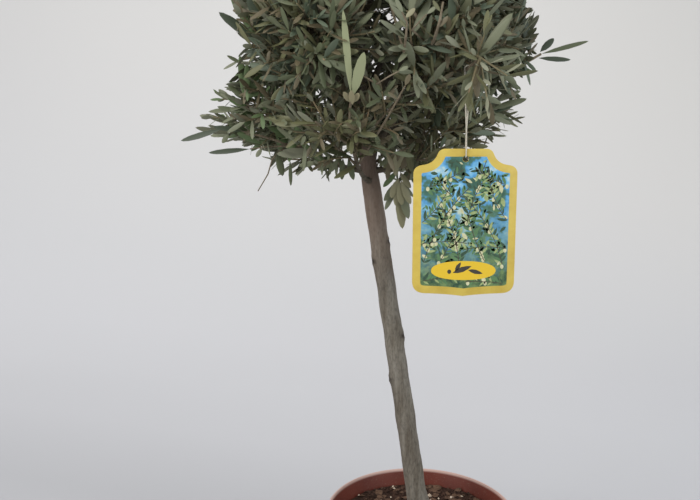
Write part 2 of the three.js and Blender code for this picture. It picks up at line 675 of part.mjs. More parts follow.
// The thin fan of space that the label and its string swing through, which foliage keeps out of.
function swingSpace() {
  const fan = [];
  const hang = HANG_POINT;
  const string = new THREE.BoxGeometry(10, 2 * SWING_CLEARANCE, hang.z - LABEL_TOP_Z + 12);
  string.translate(hang.x, hang.y, (hang.z + LABEL_TOP_Z) / 2 + 2);
  for (let degrees = -SWING_DEGREES; degrees <= SWING_DEGREES; degrees += 2.5) {
    const plate = labelPlate(2 * SWING_CLEARANCE, false, 1);
    const turn = new THREE.Matrix4().makeTranslation(hang);
    turn.multiply(new THREE.Matrix4().makeRotationY(radians(degrees)));
    turn.multiply(new THREE.Matrix4().makeTranslation(hang.clone().negate()));
    fan.push(solidOf(plate.applyMatrix4(turn)), solidOf(string.clone().applyMatrix4(turn)));
  }
  return wasm.Manifold.union(fan);
}

makePot();
makeSoil();
const limbs = makeTrunkAndBoughs();
makeLabel();
const clear = limbs.add(swingSpace());
for (const mass of MASSES) {
  addPiece("foliage_" + mass.name, geometryOf(growMass(mass)), COLOURS.foliage, 0.6);
}

export default part;
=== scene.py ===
# %% [markdown]
# # A young olive tree in a pot, dressed over its CAD frame
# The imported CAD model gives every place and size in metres, +Z up, with the front towards -Y.
# Each cell below makes one piece of the tree over that frame: the pot, the soil, the bark of the
# trunk and boughs, twigs and leaves that follow the CAD's own growing rule, the label, its string.

# %% Load the CAD frame
import math

import bpy
import numpy as np
from mathutils import Matrix, Vector, noise


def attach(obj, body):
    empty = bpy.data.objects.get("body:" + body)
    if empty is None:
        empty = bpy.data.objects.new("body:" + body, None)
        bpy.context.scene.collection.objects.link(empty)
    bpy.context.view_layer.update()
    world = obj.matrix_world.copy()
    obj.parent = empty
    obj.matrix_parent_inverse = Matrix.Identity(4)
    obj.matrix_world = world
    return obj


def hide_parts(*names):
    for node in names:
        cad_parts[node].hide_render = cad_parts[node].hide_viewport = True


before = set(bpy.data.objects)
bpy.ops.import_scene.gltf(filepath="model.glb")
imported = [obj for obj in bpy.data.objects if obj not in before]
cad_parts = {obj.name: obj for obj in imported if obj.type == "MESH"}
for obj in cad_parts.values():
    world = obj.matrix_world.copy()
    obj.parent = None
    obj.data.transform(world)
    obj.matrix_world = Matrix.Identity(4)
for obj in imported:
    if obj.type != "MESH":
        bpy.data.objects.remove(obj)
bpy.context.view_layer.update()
MM = 0.001

# %% [markdown]
# ## The camera
# It stands a little over half a metre up, 0.7 m in front of the tree, and looks slightly down. Its
# place was worked out from the ellipse of the pot's rim, the lean of the trunk and the label.

# %% Camera
LOOKING_DOWN = 8.2  # degrees
PHOTO_WIDTH, PHOTO_HEIGHT = 700, 500
camera_data = bpy.data.cameras.new("camera")
camera_data.sensor_width = 36
camera_data.lens = 37.03
camera = bpy.data.objects.new("camera", camera_data)
camera.location = (-0.074, -0.713, 0.539)
camera.rotation_euler = (math.radians(90 - LOOKING_DOWN), 0, 0)
bpy.context.scene.collection.objects.link(camera)
bpy.context.scene.camera = camera
FOCUS = PHOTO_WIDTH * camera_data.lens / camera_data.sensor_width


def seen(across, down, y):
    """The place in millimetres, at a depth y, that shows at a pixel of the photo."""
    sight = Vector((across - PHOTO_WIDTH / 2, PHOTO_HEIGHT / 2 - down, -FOCUS))
    sight.rotate(camera.rotation_euler)
    return camera.location / MM + sight * (y - camera.location.y / MM) / sight.y


print("camera lens", camera_data.lens, "mm, in the photo's pixels", round(FOCUS, 1))

# %% [markdown]
# ## Helpers for modelling by hand
# Operators act on whatever is selected, so every primitive starts with nothing selected. Rings
# are then pulled up one after another, which is how a lathe-turned shape is built in edit mode.


# %% Modelling helpers
def deselect_all():
    if bpy.context.object and bpy.context.object.mode != "OBJECT":
        bpy.ops.object.mode_set(mode="OBJECT")
    bpy.ops.object.select_all(action="DESELECT")


def make_active(piece):
    deselect_all()
    piece.select_set(True)
    bpy.context.view_layer.objects.active = piece


def start_ring(name, radius, centre, sides):
    """A circle of edges in edit mode, ready to be pulled up into a wall."""
    deselect_all()
    bpy.ops.mesh.primitive_circle_add(vertices=sides, radius=radius, location=centre)
    ring = bpy.context.object
    ring.name = ring.data.name = name
    bpy.ops.object.transform_apply(location=True, rotation=True, scale=True)
    bpy.ops.object.mode_set(mode="EDIT")
    bpy.ops.mesh.select_all(action="SELECT")
    return ring


def pull_rings(rings):
    """Extrudes the selected ring through (radius, height) pairs in millimetres, about the pot's axis."""
    metric = [(radius * MM, height * MM) for radius, height in rings]
    for (old_radius, old_height), (radius, height) in zip(metric, metric[1:]):
        bpy.ops.mesh.extrude_region_move(TRANSFORM_OT_translate={"value": (0, 0, height - old_height)})
        grow = radius / old_radius
        bpy.ops.transform.resize(value=(grow, grow, 1), center_override=(0, 0, height))


def edit_edges(piece, chosen):
    """Opens a piece in edit mode with only those edges selected whose ends are both chosen."""
    make_active(piece)
    for vertex in piece.data.vertices:
        vertex.select = chosen(vertex.co)
    for edge in piece.data.edges:
        edge.select = all(piece.data.vertices[i].select for i in edge.vertices)
    for face in piece.data.polygons:
        face.select = False
    bpy.ops.object.mode_set(mode="EDIT")
    bpy.ops.mesh.select_mode(type="EDGE")


def close_shape():
    """Welds what coincides, turns every face outwards and leaves edit mode."""
    bpy.ops.mesh.select_all(action="SELECT")
    bpy.ops.mesh.remove_doubles(threshold=1e-6)
    bpy.ops.mesh.normals_make_consistent(inside=False)
    bpy.ops.object.mode_set(mode="OBJECT")


# %% Helpers for whole pieces
def apply_modifier(piece, kind, **settings):
    make_active(piece)
    modifier = piece.modifiers.new(kind.lower(), kind)
    for name, value in settings.items():
        setattr(modifier, name, value)
    bpy.ops.object.modifier_apply(modifier=modifier.name)


def smooth(piece, degrees):
    make_active(piece)
    bpy.ops.object.shade_smooth_by_angle(angle=math.radians(degrees))


def mesh_piece(name, vertices, faces):
    """A mesh piece from arrays of places in metres and of corner numbers."""
    mesh = bpy.data.meshes.new(name)
    mesh.from_pydata(np.asarray(vertices).tolist(), [], faces)
    piece = bpy.data.objects.new(name, mesh)
    bpy.context.scene.collection.objects.link(piece)
    return piece


def curve_of(name, lines, closed):
    """A curve through lines of metre places."""
    curve = bpy.data.curves.new(name, "CURVE")
    curve.dimensions = "3D"
    for line in lines:
        spline = curve.splines.new("POLY")
        spline.points.add(len(line) - 1)
        for point, place in zip(spline.points, line):
            point.co = (*place, 1)
        spline.use_cyclic_u = closed
    return curve


def piece_of_curve(name, curve):
    """Makes a curve's solid a mesh piece."""
    piece = bpy.data.objects.new(name, curve)
    bpy.context.scene.collection.objects.link(piece)
    make_active(piece)
    bpy.ops.object.convert(target="MESH")
    return bpy.context.object


def join_pieces(pieces):
    """Joins pieces into the first of them."""
    deselect_all()
    for piece in pieces:
        piece.select_set(True)
    bpy.context.view_layer.objects.active = pieces[0]
    bpy.ops.object.join()
    return bpy.context.object


def triangles(piece):
    return sum(len(face.vertices) - 2 for face in piece.data.polygons)


# %% [markdown]
# ## Finishes
# Every finish is a Principled shader. The leaves have plain colours. In the others a noise on the
# piece's own Object coordinates mottles the colour and raises the bump, so the grain stays put.


# %% Finish helpers
def shader_of(material):
    return material.node_tree.nodes["Principled BSDF"]


def plain_finish(name, colour, roughness, specular=0.5):
    """A Principled finish of one colour."""
    material = bpy.data.materials.new(name)
    material.use_nodes = True
    shader = shader_of(material)
    shader.inputs["Base Color"].default_value = (*colour, 1)
    shader.inputs["Roughness"].default_value = roughness
    shader.inputs["Specular IOR Level"].default_value = specular
    return material


def add_node(material, kind, **inputs):
    node = material.node_tree.nodes.new(kind)
    for name, value in inputs.items():
        node.inputs[name.replace("_", " ")].default_value = value
    return node


def link(material, source, target):
    material.node_tree.links.new(source, target)


def grain(material, scale, detail=4.0, stretch=(1, 1, 1), roughness=0.6):
    """A noise on Object coordinates. scale is in waves a metre, stretch multiplies each axis."""
    place = add_node(material, "ShaderNodeTexCoord")
    mapping = add_node(material, "ShaderNodeMapping", Scale=stretch)
    link(material, place.outputs["Object"], mapping.inputs["Vector"])
    waves = add_node(material, "ShaderNodeTexNoise", Scale=scale, Detail=detail, Roughness=roughness)
    link(material, mapping.outputs["Vector"], waves.inputs["Vector"])
    return waves.outputs["Fac"]


def by_height(material, low, high, most=1.0):
    """A factor that rises from 0 to most between two heights on Object coordinates, in metres."""
    place = add_node(material, "ShaderNodeTexCoord")
    split = add_node(material, "ShaderNodeSeparateXYZ")
    link(material, place.outputs["Object"], split.inputs["Vector"])
    rise = add_node(material, "ShaderNodeMapRange", From_Min=low, From_Max=high, To_Max=most)
    link(material, split.outputs["Z"], rise.inputs["Value"])
    return rise.outputs["Result"]


# %% Colour and relief helpers
def ramp(material, factor, stops):
    """Colours along a factor. stops are (position, colour) pairs."""
    node = add_node(material, "ShaderNodeValToRGB")
    while len(node.color_ramp.elements) < len(stops):
        node.color_ramp.elements.new(0.5)
    for element, (position, colour) in zip(node.color_ramp.elements, stops):
        element.position = position
        element.color = (*colour, 1)
    link(material, factor, node.inputs["Fac"])
    return node.outputs["Color"]


def mixed(material, factor, first, second, way="MIX"):
    node = material.node_tree.nodes.new("ShaderNodeMix")
    node.data_type = "RGBA"
    node.blend_type = way
    colour_inputs = [socket for socket in node.inputs if socket.type == "RGBA"]
    for socket, source in ((node.inputs[0], factor), (colour_inputs[0], first), (colour_inputs[1], second)):
        if isinstance(source, bpy.types.NodeSocket):
            link(material, source, socket)
        else:
            socket.default_value = source
    return next(socket for socket in node.outputs if socket.type == "RGBA")


def paint(material, colour):
    link(material, colour, shader_of(material).inputs["Base Color"])


def raise_bump(material, height, strength, distance):
    bump = add_node(material, "ShaderNodeBump", Strength=strength, Distance=distance)
    link(material, height, bump.inputs["Height"])
    link(material, bump.outputs["Normal"], shader_of(material).inputs["Normal"])


def finish_with(piece, material):
    piece.data.materials.clear()
    piece.data.materials.append(material)


def mottled_finish(name, stops, scale, roughness, bump, distance, stretch=(1, 1, 1), specular=0.5):
    """A finish whose colour and relief follow one noise. distance is the relief's depth in metres."""
    material = plain_finish(name, stops[0][1], roughness, specular)
    waves = grain(material, scale, stretch=stretch)
    paint(material, ramp(material, waves, stops))
    raise_bump(material, waves, bump, distance)
    return material


# %% [markdown]
# ## The pot
# The real pot is moulded terracotta-coloured plastic: a tapering wall, a band that stands out
# round the rim, and a rounded lip. A lathe profile could be spun in one go, but pulling up ring
# after ring keeps each step a measure that can be read. The drain holes are then cut through.

# %% Pot measures, in millimetres
GAP = 0.3  # clearance between pieces that touch
RIM_TOP, BAND_FOOT = 160, 136
INNER_FOOT_RADIUS, INNER_BAND_RADIUS, INNER_RIM_RADIUS = 66.6, 89, 96
POT_RINGS = [  # radius, height: up the outside, over the lip and down the inside
    (67, 0), (68.6, 0.6), (69, 2), (91.4, 134), (92.4, 135.2), (95, BAND_FOOT), (95.5, 137.4),
    (98.5, 155.6), (98.9, 157.2), (98.8, 158.8), (98, 159.8), (97.2, RIM_TOP), (96.6, 159.7),
    (96.1, 158.6), (INNER_BAND_RADIUS, BAND_FOOT), (66.9, 2.4),
]
POT_FACETS, FOOT_INSET = 112, 30
SOIL_FOOT, SOIL_SHOULDER, SOIL_TOP = 2.7, 142.8, 144
TRUNK_FOOT_X = 1.3
DRAIN_RING, DRAIN_RADIUS, DRAIN_HOLES, DRAIN_DEPTH = 44, 5, 6, 12


def pot_inner_radius(z):
    """Radius of the pot's inner face at a height, in millimetres."""
    if z <= BAND_FOOT:
        return INNER_FOOT_RADIUS + (INNER_BAND_RADIUS - INNER_FOOT_RADIUS) * z / BAND_FOOT
    up = (z - BAND_FOOT) / (RIM_TOP - BAND_FOOT)
    return INNER_BAND_RADIUS + (INNER_RIM_RADIUS - INNER_BAND_RADIUS) * up


print("pot", 2 * max(radius for radius, _ in POT_RINGS), "mm across its rim and", RIM_TOP, "mm high")

# %% Pot shell
foot_radius = POT_RINGS[0][0] * MM
pot = start_ring("pot_shell", foot_radius, (0, 0, 0), POT_FACETS)
bpy.ops.mesh.edge_face_add()
bpy.ops.mesh.inset(thickness=FOOT_INSET * MM, depth=0)
edit_edges(pot, lambda place: math.hypot(place.x, place.y) > 0.95 * foot_radius)
pull_rings(POT_RINGS)
bpy.ops.mesh.edge_face_add()
close_shape()
for i in range(DRAIN_HOLES):
    turn = 2 * math.pi * i / DRAIN_HOLES
    deselect_all()
    place = Vector((math.cos(turn), math.sin(turn), 0)) * DRAIN_RING * MM
    bpy.ops.mesh.primitive_cylinder_add(
        vertices=32, radius=DRAIN_RADIUS * MM, depth=DRAIN_DEPTH * MM, location=place)
    drill = bpy.context.object
    apply_modifier(pot, "BOOLEAN", operation="DIFFERENCE", object=drill, solver="EXACT")
    bpy.data.objects.remove(drill)
smooth(pot, 34)
print("pot triangles", triangles(pot))

# %% [markdown]
# The plastic is an even red-brown with the faint cloudiness of moulded filler, a satin shine,
# specks of dry soil dealt out by a noise, and a painted highlight along the lip, laid on by height.

# %% Pot finish
pot_plastic = plain_finish("pot_plastic", (0.125, 0.03, 0.021), 0.55, 0.2)
cloud = grain(pot_plastic, 22, detail=6)
moulded = ramp(pot_plastic, cloud, [(0.3, (0.086, 0.018, 0.011)), (0.7, (0.135, 0.029, 0.017))])
specks = ramp(pot_plastic, grain(pot_plastic, 900, detail=2), [(0.62, (0, 0, 0)), (0.74, (1, 1, 1))])
dusty = mixed(pot_plastic, specks, moulded, (0.17, 0.1, 0.07, 1))
# Painted highlight: the top of the lip is painted pale, by height.
lip_painted_highlight = by_height(pot_plastic, (RIM_TOP - 3.4) * MM, (RIM_TOP - 1.2) * MM)
paint(pot_plastic, mixed(pot_plastic, lip_painted_highlight, dusty, (0.46, 0.31, 0.265, 1)))
raise_bump(pot_plastic, grain(pot_plastic, 160, detail=5), 0.12, 0.0012)
shader_of(pot_plastic).inputs["Coat Weight"].default_value = 0.05
shader_of(pot_plastic).inputs["Coat Roughness"].default_value = 0.3
pot.data.materials.append(pot_plastic)
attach(pot, "plant")
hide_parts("pot")
print("pot finish has", len(pot_plastic.node_tree.nodes), "nodes")

# %% [markdown]
# ## The soil
# Potting soil fills the pot to just under its rim. It is a solid like the CAD's, with its top
# worked into crumbs: rings are pulled in towards the trunk and then lifted by a noise.

# %% Soil body
SOIL_FACETS, RING_STEP, RINGS_END = 150, 2, 11
soil_rings = [(pot_inner_radius(height) - GAP, height) for height in (SOIL_FOOT, BAND_FOOT, SOIL_SHOULDER)]
soil_rings += [(radius, SOIL_TOP) for radius in range(INNER_BAND_RADIUS, RINGS_END, -RING_STEP)]
soil = start_ring("soil_surface", soil_rings[0][0] * MM, (0, 0, SOIL_FOOT * MM), SOIL_FACETS)
bpy.ops.mesh.edge_face_add()
pull_rings(soil_rings)
close_shape()


LEVEL_RADIUS, EDGE_RADIUS = 13, 91  # level with the CAD's close round the trunk, lower at the edge


def soil_height(x, y):
    """Height of the worked soil, in millimetres."""
    waves = math.sin(x / 9 + 1) * math.cos(y / 11) + 0.6 * math.sin((x + y) / 6)
    crumbs = noise.fractal(Vector((x, y, 0)) / 5.5, 0.8, 2.2, 4)
    away = min(1, max(0, (math.hypot(x, y) - LEVEL_RADIUS) / 14))
    edge = min(1, max(0, (EDGE_RADIUS - math.hypot(x, y)) / 5))
    return SOIL_TOP + (waves + 1.5 * crumbs) * away - 1.2 * (1 - edge)


for vertex in soil.data.vertices:
    if vertex.co.z > (SOIL_TOP - 0.5) * MM:
        vertex.co.z = soil_height(vertex.co.x / MM, vertex.co.y / MM) * MM
smooth(soil, 60)
print("soil triangles", triangles(soil))

# %% [markdown]
# Loose bits lie on it: dark crumbs, flat brown bark chips and pale grit. Hundreds of them would
# take long to place by hand, so one chip is shaped and its copies are written in as one mesh.


# %% Loose bits on the soil
BITS_REACH, ROOT_FLARE_REACH = 88, 17


def scatter_bits(name, count, size, flat, seed, lift):
    """One mesh of small stones, each a dented octahedron of its own size and turn.

    size is in millimetres, flat its height for its width, lift how far it stands out of the soil.
    """
    deal = np.random.default_rng(seed)
    shape = np.array([
        (1, 0, 0), (0, 1, 0), (-1, 0, 0), (0, -1, 0), (0, 0, 1), (0, 0, -1),
        (0.62, 0.62, 0.3), (-0.62, 0.62, -0.3), (-0.62, -0.62, 0.3), (0.62, -0.62, -0.3),
    ])
    corners = [
        (0, 6, 4), (6, 1, 4), (1, 7, 4), (7, 2, 4), (2, 8, 4), (8, 3, 4), (3, 9, 4), (9, 0, 4),
        (6, 0, 5), (1, 6, 5), (7, 1, 5), (2, 7, 5), (8, 2, 5), (3, 8, 5), (9, 3, 5), (0, 9, 5),
    ]
    places, faces = [], []
    while len(places) < count:
        radius, turn = BITS_REACH * math.sqrt(deal.random()), 2 * math.pi * deal.random()
        x, y = radius * math.cos(turn), radius * math.sin(turn)
        if math.hypot(x - TRUNK_FOOT_X, y) < ROOT_FLARE_REACH + size:
            continue
        grow = size * (0.45 + 0.75 * deal.random())
        bit = shape * (1 + 0.35 * (deal.random(shape.shape) - 0.5)) * (1, 0.5 + 0.5 * deal.random(), flat)
        lean = Matrix.Rotation(0.7 * (deal.random() - 0.5), 3, "X") @ Matrix.Rotation(turn * 7, 3, "Z")
        bit = grow * bit @ np.array(lean.transposed())
        bit += (x, y, soil_height(x, y) + grow * flat * lift)
        faces += [tuple(len(shape) * len(places) + i for i in face) for face in corners]
        places.append(bit)
    bits = mesh_piece(name, np.vstack(places) * MM, faces)
    smooth(bits, 25)
    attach(bits, "plant")
    return bits


crumbs = scatter_bits("soil_crumbs", count=1500, size=2.3, flat=0.75, seed=3, lift=0.25)
chips = scatter_bits("soil_bark_chips", count=330, size=4.6, flat=0.34, seed=4, lift=0.5)
grit = scatter_bits("soil_pale_grit", count=150, size=2.5, flat=0.8, seed=5, lift=0.45)
print("soil bits triangles", sum(triangles(piece) for piece in (crumbs, chips, grit)))

# %% Soil finishes
soil_stops = [(0.3, (0.016, 0.008, 0.005)), (0.62, (0.045, 0.023, 0.015)), (0.8, (0.08, 0.044, 0.03))]
soil_finish = mottled_finish("potting_soil", soil_stops, 190, 0.95, 0.9, 0.003, specular=0.15)
crumb_stops = [(0.35, (0.02, 0.011, 0.0075)), (0.7, (0.07, 0.038, 0.026))]
chip_stops = [(0.3, (0.05, 0.027, 0.016)), (0.7, (0.13, 0.075, 0.046))]
grit_stops = [(0.3, (0.34, 0.26, 0.19)), (0.7, (0.56, 0.47, 0.37))]
crumb_finish = mottled_finish("soil_crumb", crumb_stops, 120, 0.95, 0.5, 0.001, specular=0.15)
chip_finish = mottled_finish("bark_chip", chip_stops, 260, 0.85, 0.6, 0.001, stretch=(1, 3, 1), specular=0.2)
grit_finish = mottled_finish("pale_grit", grit_stops, 150, 0.9, 0.4, 0.001, specular=0.2)
for piece, finish in ((soil, soil_finish), (crumbs, crumb_finish), (chips, chip_finish), (grit, grit_finish)):
    piece.data.materials.append(finish)
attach(soil, "plant")
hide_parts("soil")
print("soil finishes", [piece.data.materials[0].name for piece in (soil, crumbs, chips, grit)])

# %% [markdown]
# ## The rule of the tree
# These are the measures and the rule that grew the CAD tree, in millimetres: a leaning trunk, a
# ring of masses in each tier, and for each mass one curve that carries its bough and its stem.

# %% Tree measures
UP = Vector((0, 0, 1))
TRUNK_FOOT = Vector((TRUNK_FOOT_X, 0, SOIL_TOP + 0.3))
TRUNK_LEAN = -0.152
TRUNK_TOP = 588
NECK = 505
KNOTS = (  # height, azimuth, swell, spread
    (425, 200, 1.6, 5), (303, 190, 2.6, 5), (349, -20, 2.4, 6), (445, -15, 1.8, 5),
    (238, 60, 1.6, 6), (160, -25, 4.0, 12),
)
CROWN_CENTRE = np.array((-50, 0, 655.0))
CROWN_RADII = np.array((152, 150, 145.0))
LOBES = (  # azimuth, elevation, swell, spread
    (180, -35, 0.24, 17), (180, -9, -0.2, 12), (158, -10, -0.13, 13), (202, -10, -0.13, 13),
    (185, 38, -0.04, 20), (0, 4, -0.06, 18), (0, -38, 0.08, 18), (70, -30, 0.1, 24),
    (-105, -60, 0.16, 26), (84, -60, 0.1, 26), (-60, 42, 0.06, 22), (120, 45, 0.07, 22),
)
TIERS = (  # name, elevation, fork height, step between forks, bough radius, rise, places
    ("skirt", -54, 505, 5, 2.9, 0.05, {"front": -105, "right": -12, "back": 86, "left": 180}),
    ("middle", -8, 528, 5.5, 3.3, 0.7,
     {"front_right": -60, "right": 0, "back_right": 60, "back_left": 120, "left": 180, "front_left": 240}),
    ("upper", 35, 558, 4.5, 3.1, 1.3,
     {"front": -90, "right": -18, "back_right": 54, "back_left": 126, "left": 198}),
    ("top", 90, 588.3, 0, 3.6, 6, {"leader": 0}),
)
DENTS = (  # azimuth, elevation, swell, spread: where leaves stop short of the CAD's outline or pass it
    (180, -12, -0.25, 9), (182, 4, -0.16, 9), (182, -27, 0.1, 8), (180, -43, -0.1, 7), (2, -19, -0.13, 7),
    (0, -34, 0.05, 8), (182, -57, 0.12, 8), (180, -74, -0.06, 9), (-8, -62, 0.08, 9), (204, -7, -0.13, 8),
)


# %% Trunk's course and the head's outline
def heading(azimuth, elevation):
    flat, turn = math.cos(math.radians(elevation)), math.radians(azimuth)
    return Vector((flat * math.cos(turn), flat * math.sin(turn), math.sin(math.radians(elevation))))


def trunk_point(z):
    return Vector((TRUNK_FOOT.x + TRUNK_LEAN * (z - TRUNK_FOOT.z), 0, z))


def bump_arrays(bumps):
    """The ways, swells and spreads of a table of lobes or dents."""
    ways = np.array([heading(azimuth, elevation) for azimuth, elevation, _, _ in bumps])
    swells = np.array([swell for _, _, swell, _ in bumps])
    return ways, swells, np.radians([spread for _, _, _, spread in bumps])


def swelling(ways, bumps):
    """What lobes or dents add to the head's outline in each direction, as a share of its radii."""
    bump_ways, swells, spreads = bumps
    apart = np.arccos(np.clip(ways @ bump_ways.T, -1, 1)) / spreads
    return np.exp(-apart * apart) @ swells


LOBE_ARRAYS, DENT_ARRAYS = bump_arrays(LOBES), bump_arrays(DENTS)


def reach_of(ways):
    """How far the head's outline stands out in each direction, as a share of its radii."""
    return 1 + swelling(ways, LOBE_ARRAYS)


def share_of_reach(places):
    """Distance of each place from the head's centre, as a share of the outline's that way."""
    scaled = (places - CROWN_CENTRE) / CROWN_RADII
    out = np.linalg.norm(scaled, axis=1)
    ways = scaled / np.maximum(out, 1e-6)[:, None]
    return out / (reach_of(ways) + swelling(ways, DENT_ARRAYS))


def on_outline(way, share):
    reach = reach_of(np.array([way]))[0]
    return Vector(CROWN_CENTRE + CROWN_RADII * np.array(way) * share * reach)


sides = [round(on_outline(heading(azimuth, 0), 1).x) for azimuth in (180, 0)]
print("the head's outline runs from", sides[0], "to", sides[1], "mm")

# %% List the masses
STEM_REACH, SITE_REACH = 0.84, 0.64  # shares of the outline's distance from the head's centre
FIRST_ENTRY, LAST_ENTRY, ENTRY_MARGIN = 0.3, 0.8, 7  # where a bough may become its mass's stem


def list_masses():
    masses = []
    for tier, elevation, fork_z, fork_step, radius, rise, places in TIERS:
        for i, (place, azimuth) in enumerate(places.items()):
            out = heading(azimuth, elevation)
            fork = trunk_point(fork_z + fork_step * ((2 * i) % len(places)))
            end = on_outline(out, STEM_REACH)
            rising = heading(azimuth, 0) * (elevation < 90) + UP * rise
            bend = fork + rising.normalized() * 0.5 * (end - fork).length
            masses.append({
                "name": tier + "_" + place, "tier": tier, "index": len(masses), "out": out,
                "radius": radius, "site": on_outline(out, SITE_REACH), "curve": (fork, bend, end),
            })
    return masses


MASSES = list_masses()
by_name = {mass["name"]: mass for mass in MASSES}
SITES = np.array([mass["site"] for mass in MASSES])
SITES_APART = np.linalg.norm(SITES[:, None] - SITES[None], axis=2)


def on_curve(curve, share):
    fork, bend, end = curve
    return fork * (1 - share) ** 2 + bend * 2 * share * (1 - share) + end * share ** 2


def in_own_space(places, mass, margin):
    """For each place: is it nearer to this mass's site than to any other, by the margin?"""
    squares = ((places[:, None] - SITES[None]) ** 2).sum(axis=2)
    own = mass["index"]
    lead = squares - squares[:, own:own + 1] - 2 * margin * SITES_APART[own]
    lead[:, own] = 1
    return (lead > 0).all(axis=1)


for mass in MASSES:
    share = FIRST_ENTRY
    while share < LAST_ENTRY:
        if in_own_space(np.array([on_curve(mass["curve"], share)]), mass, ENTRY_MARGIN)[0]:
            break
        share += 0.02
    mass["entry"] = share
print(len(MASSES), "masses, stems start at", [round(mass["entry"], 2) for mass in MASSES])

# %% [markdown]
# ## Bark on the trunk
# A young olive's bark is grey, nearly smooth, with fine upright fissures and dark healed knots
# where side shoots were rubbed off. A displaced cylinder would spread its detail evenly; here
# rings are pulled up every two millimetres along the lean, and the relief is then pressed into
# them in code, so that knots and fissures sit where the CAD has them.


# %% Trunk measures
FOOT_RADIUS, NECK_RADIUS, FORK_RADIUS, CLOSED_RADIUS = 10.5, 9.2, 6, 3.9
ROOT_FLARE, ROOT_FLARE_HEIGHT = 5.5, 11
TRUNK_SIDES, TRUNK_STEP, CLOSING = 60, 2, 14
SCARRED_FROM = 170  # height above which a knot is a healed scar, and not a swelling of the foot


def trunk_radius(z, azimuth):
    if z < NECK:
        bare = FOOT_RADIUS + (NECK_RADIUS - FOOT_RADIUS) * (z - SOIL_TOP) / (NECK - SOIL_TOP)
    else:
        bare = NECK_RADIUS + (FORK_RADIUS - NECK_RADIUS) * (z - NECK) / (TRUNK_TOP - NECK)
    buttress = 1 + 0.25 * math.cos(3 * azimuth + 0.6)
    return bare + ROOT_FLARE * buttress * math.exp(-(z - SOIL_TOP) / ROOT_FLARE_HEIGHT)


def knot_rise(z, azimuth, height, turn, swell, spread):
    up = (z - height) / spread
    around = (1 - math.cos(azimuth - math.radians(turn))) * 2 * FOOT_RADIUS / spread
    return swell * math.exp(-up * up - around)


def bark_relief(z, azimuth):
    """Height of the bark's fissures and grain, in millimetres."""
    across = Vector((math.cos(azimuth), math.sin(azimuth), 0)) * 10
    ridges = noise.ridged_multi_fractal((across + UP * z / 9) / 3.4, 0.9, 2.1, 3, 1, 2)
    grain_height = noise.fractal((across + UP * z / 3) / 1.4, 0.7, 2.3, 3)
    lumps = noise.noise((across + UP * z) / 21)
    return 0.14 * (ridges - 1.2) + 0.16 * grain_height + 0.75 * lumps


# %% Trunk shape
trunk = start_ring("trunk_bark", 10 * MM, TRUNK_FOOT * MM, TRUNK_SIDES)
bpy.ops.mesh.edge_face_add()
here = TRUNK_FOOT
while here.z < TRUNK_TOP + 2 * TRUNK_STEP:
    there = trunk_point(here.z + TRUNK_STEP)
    bpy.ops.mesh.extrude_region_move(TRANSFORM_OT_translate={"value": (there - here) * MM})
    here = there
close_shape()
scar_and_shade = trunk.data.attributes.new("scar_and_shade", "FLOAT", "POINT")
for vertex in trunk.data.vertices:
    z = vertex.co.z / MM
    axis = trunk_point(z)
    azimuth = math.atan2(vertex.co.y / MM - axis.y, vertex.co.x / MM - axis.x)
    radius = trunk_radius(min(z, TRUNK_TOP), azimuth) + bark_relief(z, azimuth)
    for height, turn, swell, spread in KNOTS:
        radius += knot_rise(z, azimuth, height, turn, swell, spread)
        if height > SCARRED_FROM:
            hollow = knot_rise(z, azimuth, height + 0.5, turn, 1, spread * 0.45)
            radius -= 1.5 * hollow
            # The hollow is stored to be painted nearly black: the scar's own dark colour and a painted shade
            # in the hollow.
            scar_and_shade.data[vertex.index].value = max(scar_and_shade.data[vertex.index].value, min(1, 1.35 * hollow))
    if z > TRUNK_TOP - CLOSING:
        radius += (CLOSED_RADIUS - radius) * min(1, (z - TRUNK_TOP + CLOSING) / (CLOSING + 3)) ** 2
    vertex.co = (axis + Vector((math.cos(azimuth), math.sin(azimuth), 0)) * radius) * MM
apply_modifier(trunk, "TRIANGULATE")
smooth(trunk, 70)
print("trunk triangles", triangles(trunk))

# %% [markdown]
# ## Boughs
# Each bough and the stem of the mass that it carries are one limb. A curve with a bevel is the
# quickest tube that tapers, because each of its points has a radius; it is then made a mesh and
# roughened like the trunk.

# %% Boughs and stems
BOUGH_STEPS = 40
STEM_RADIUS, STEM_TAPER = 2.3, 1.0
COLLAR, COLLAR_REACH = 1.6, 9


def limb_tube(mass):
    """A mass's bough and stem as one tapering tube, with a collar where it leaves the trunk."""
    line, radii = [], []
    for i in range(BOUGH_STEPS + 1):
        share = i / BOUGH_STEPS
        line.append(on_curve(mass["curve"], share))
        if share < mass["entry"]:
            radius = mass["radius"] + (STEM_RADIUS - mass["radius"]) * share / mass["entry"]
        else:
            radius = STEM_RADIUS - STEM_TAPER * (share - mass["entry"]) / (1 - mass["entry"])
        if mass["tier"] != "top":
            radius += COLLAR * math.exp(-(line[-1] - line[0]).length / COLLAR_REACH)
        radii.append(radius)
    name = "bough_" + mass["name"] + "_bark"
    curve = curve_of(name, [[place * MM for place in line]], closed=False)
    curve.bevel_depth = MM
    curve.bevel_resolution = 3
    curve.use_fill_caps = True
    for point, radius in zip(curve.splines[0].points, radii):
        point.radius = radius
    return piece_of_curve(name, curve)


limbs = join_pieces([limb_tube(mass) for mass in MASSES])
limbs.name = limbs.data.name = "boughs_bark"
make_active(limbs)
bpy.ops.object.mode_set(mode="EDIT")
close_shape()
limbs.data.update()
normals = [vertex.normal.copy() for vertex in limbs.data.vertices]
for vertex, normal in zip(limbs.data.vertices, normals):
    vertex.co += normal * 0.3 * MM * noise.fractal(vertex.co / MM / 3.2, 0.8, 2.2, 3)
smooth(limbs, 70)
print("bough triangles", triangles(limbs))
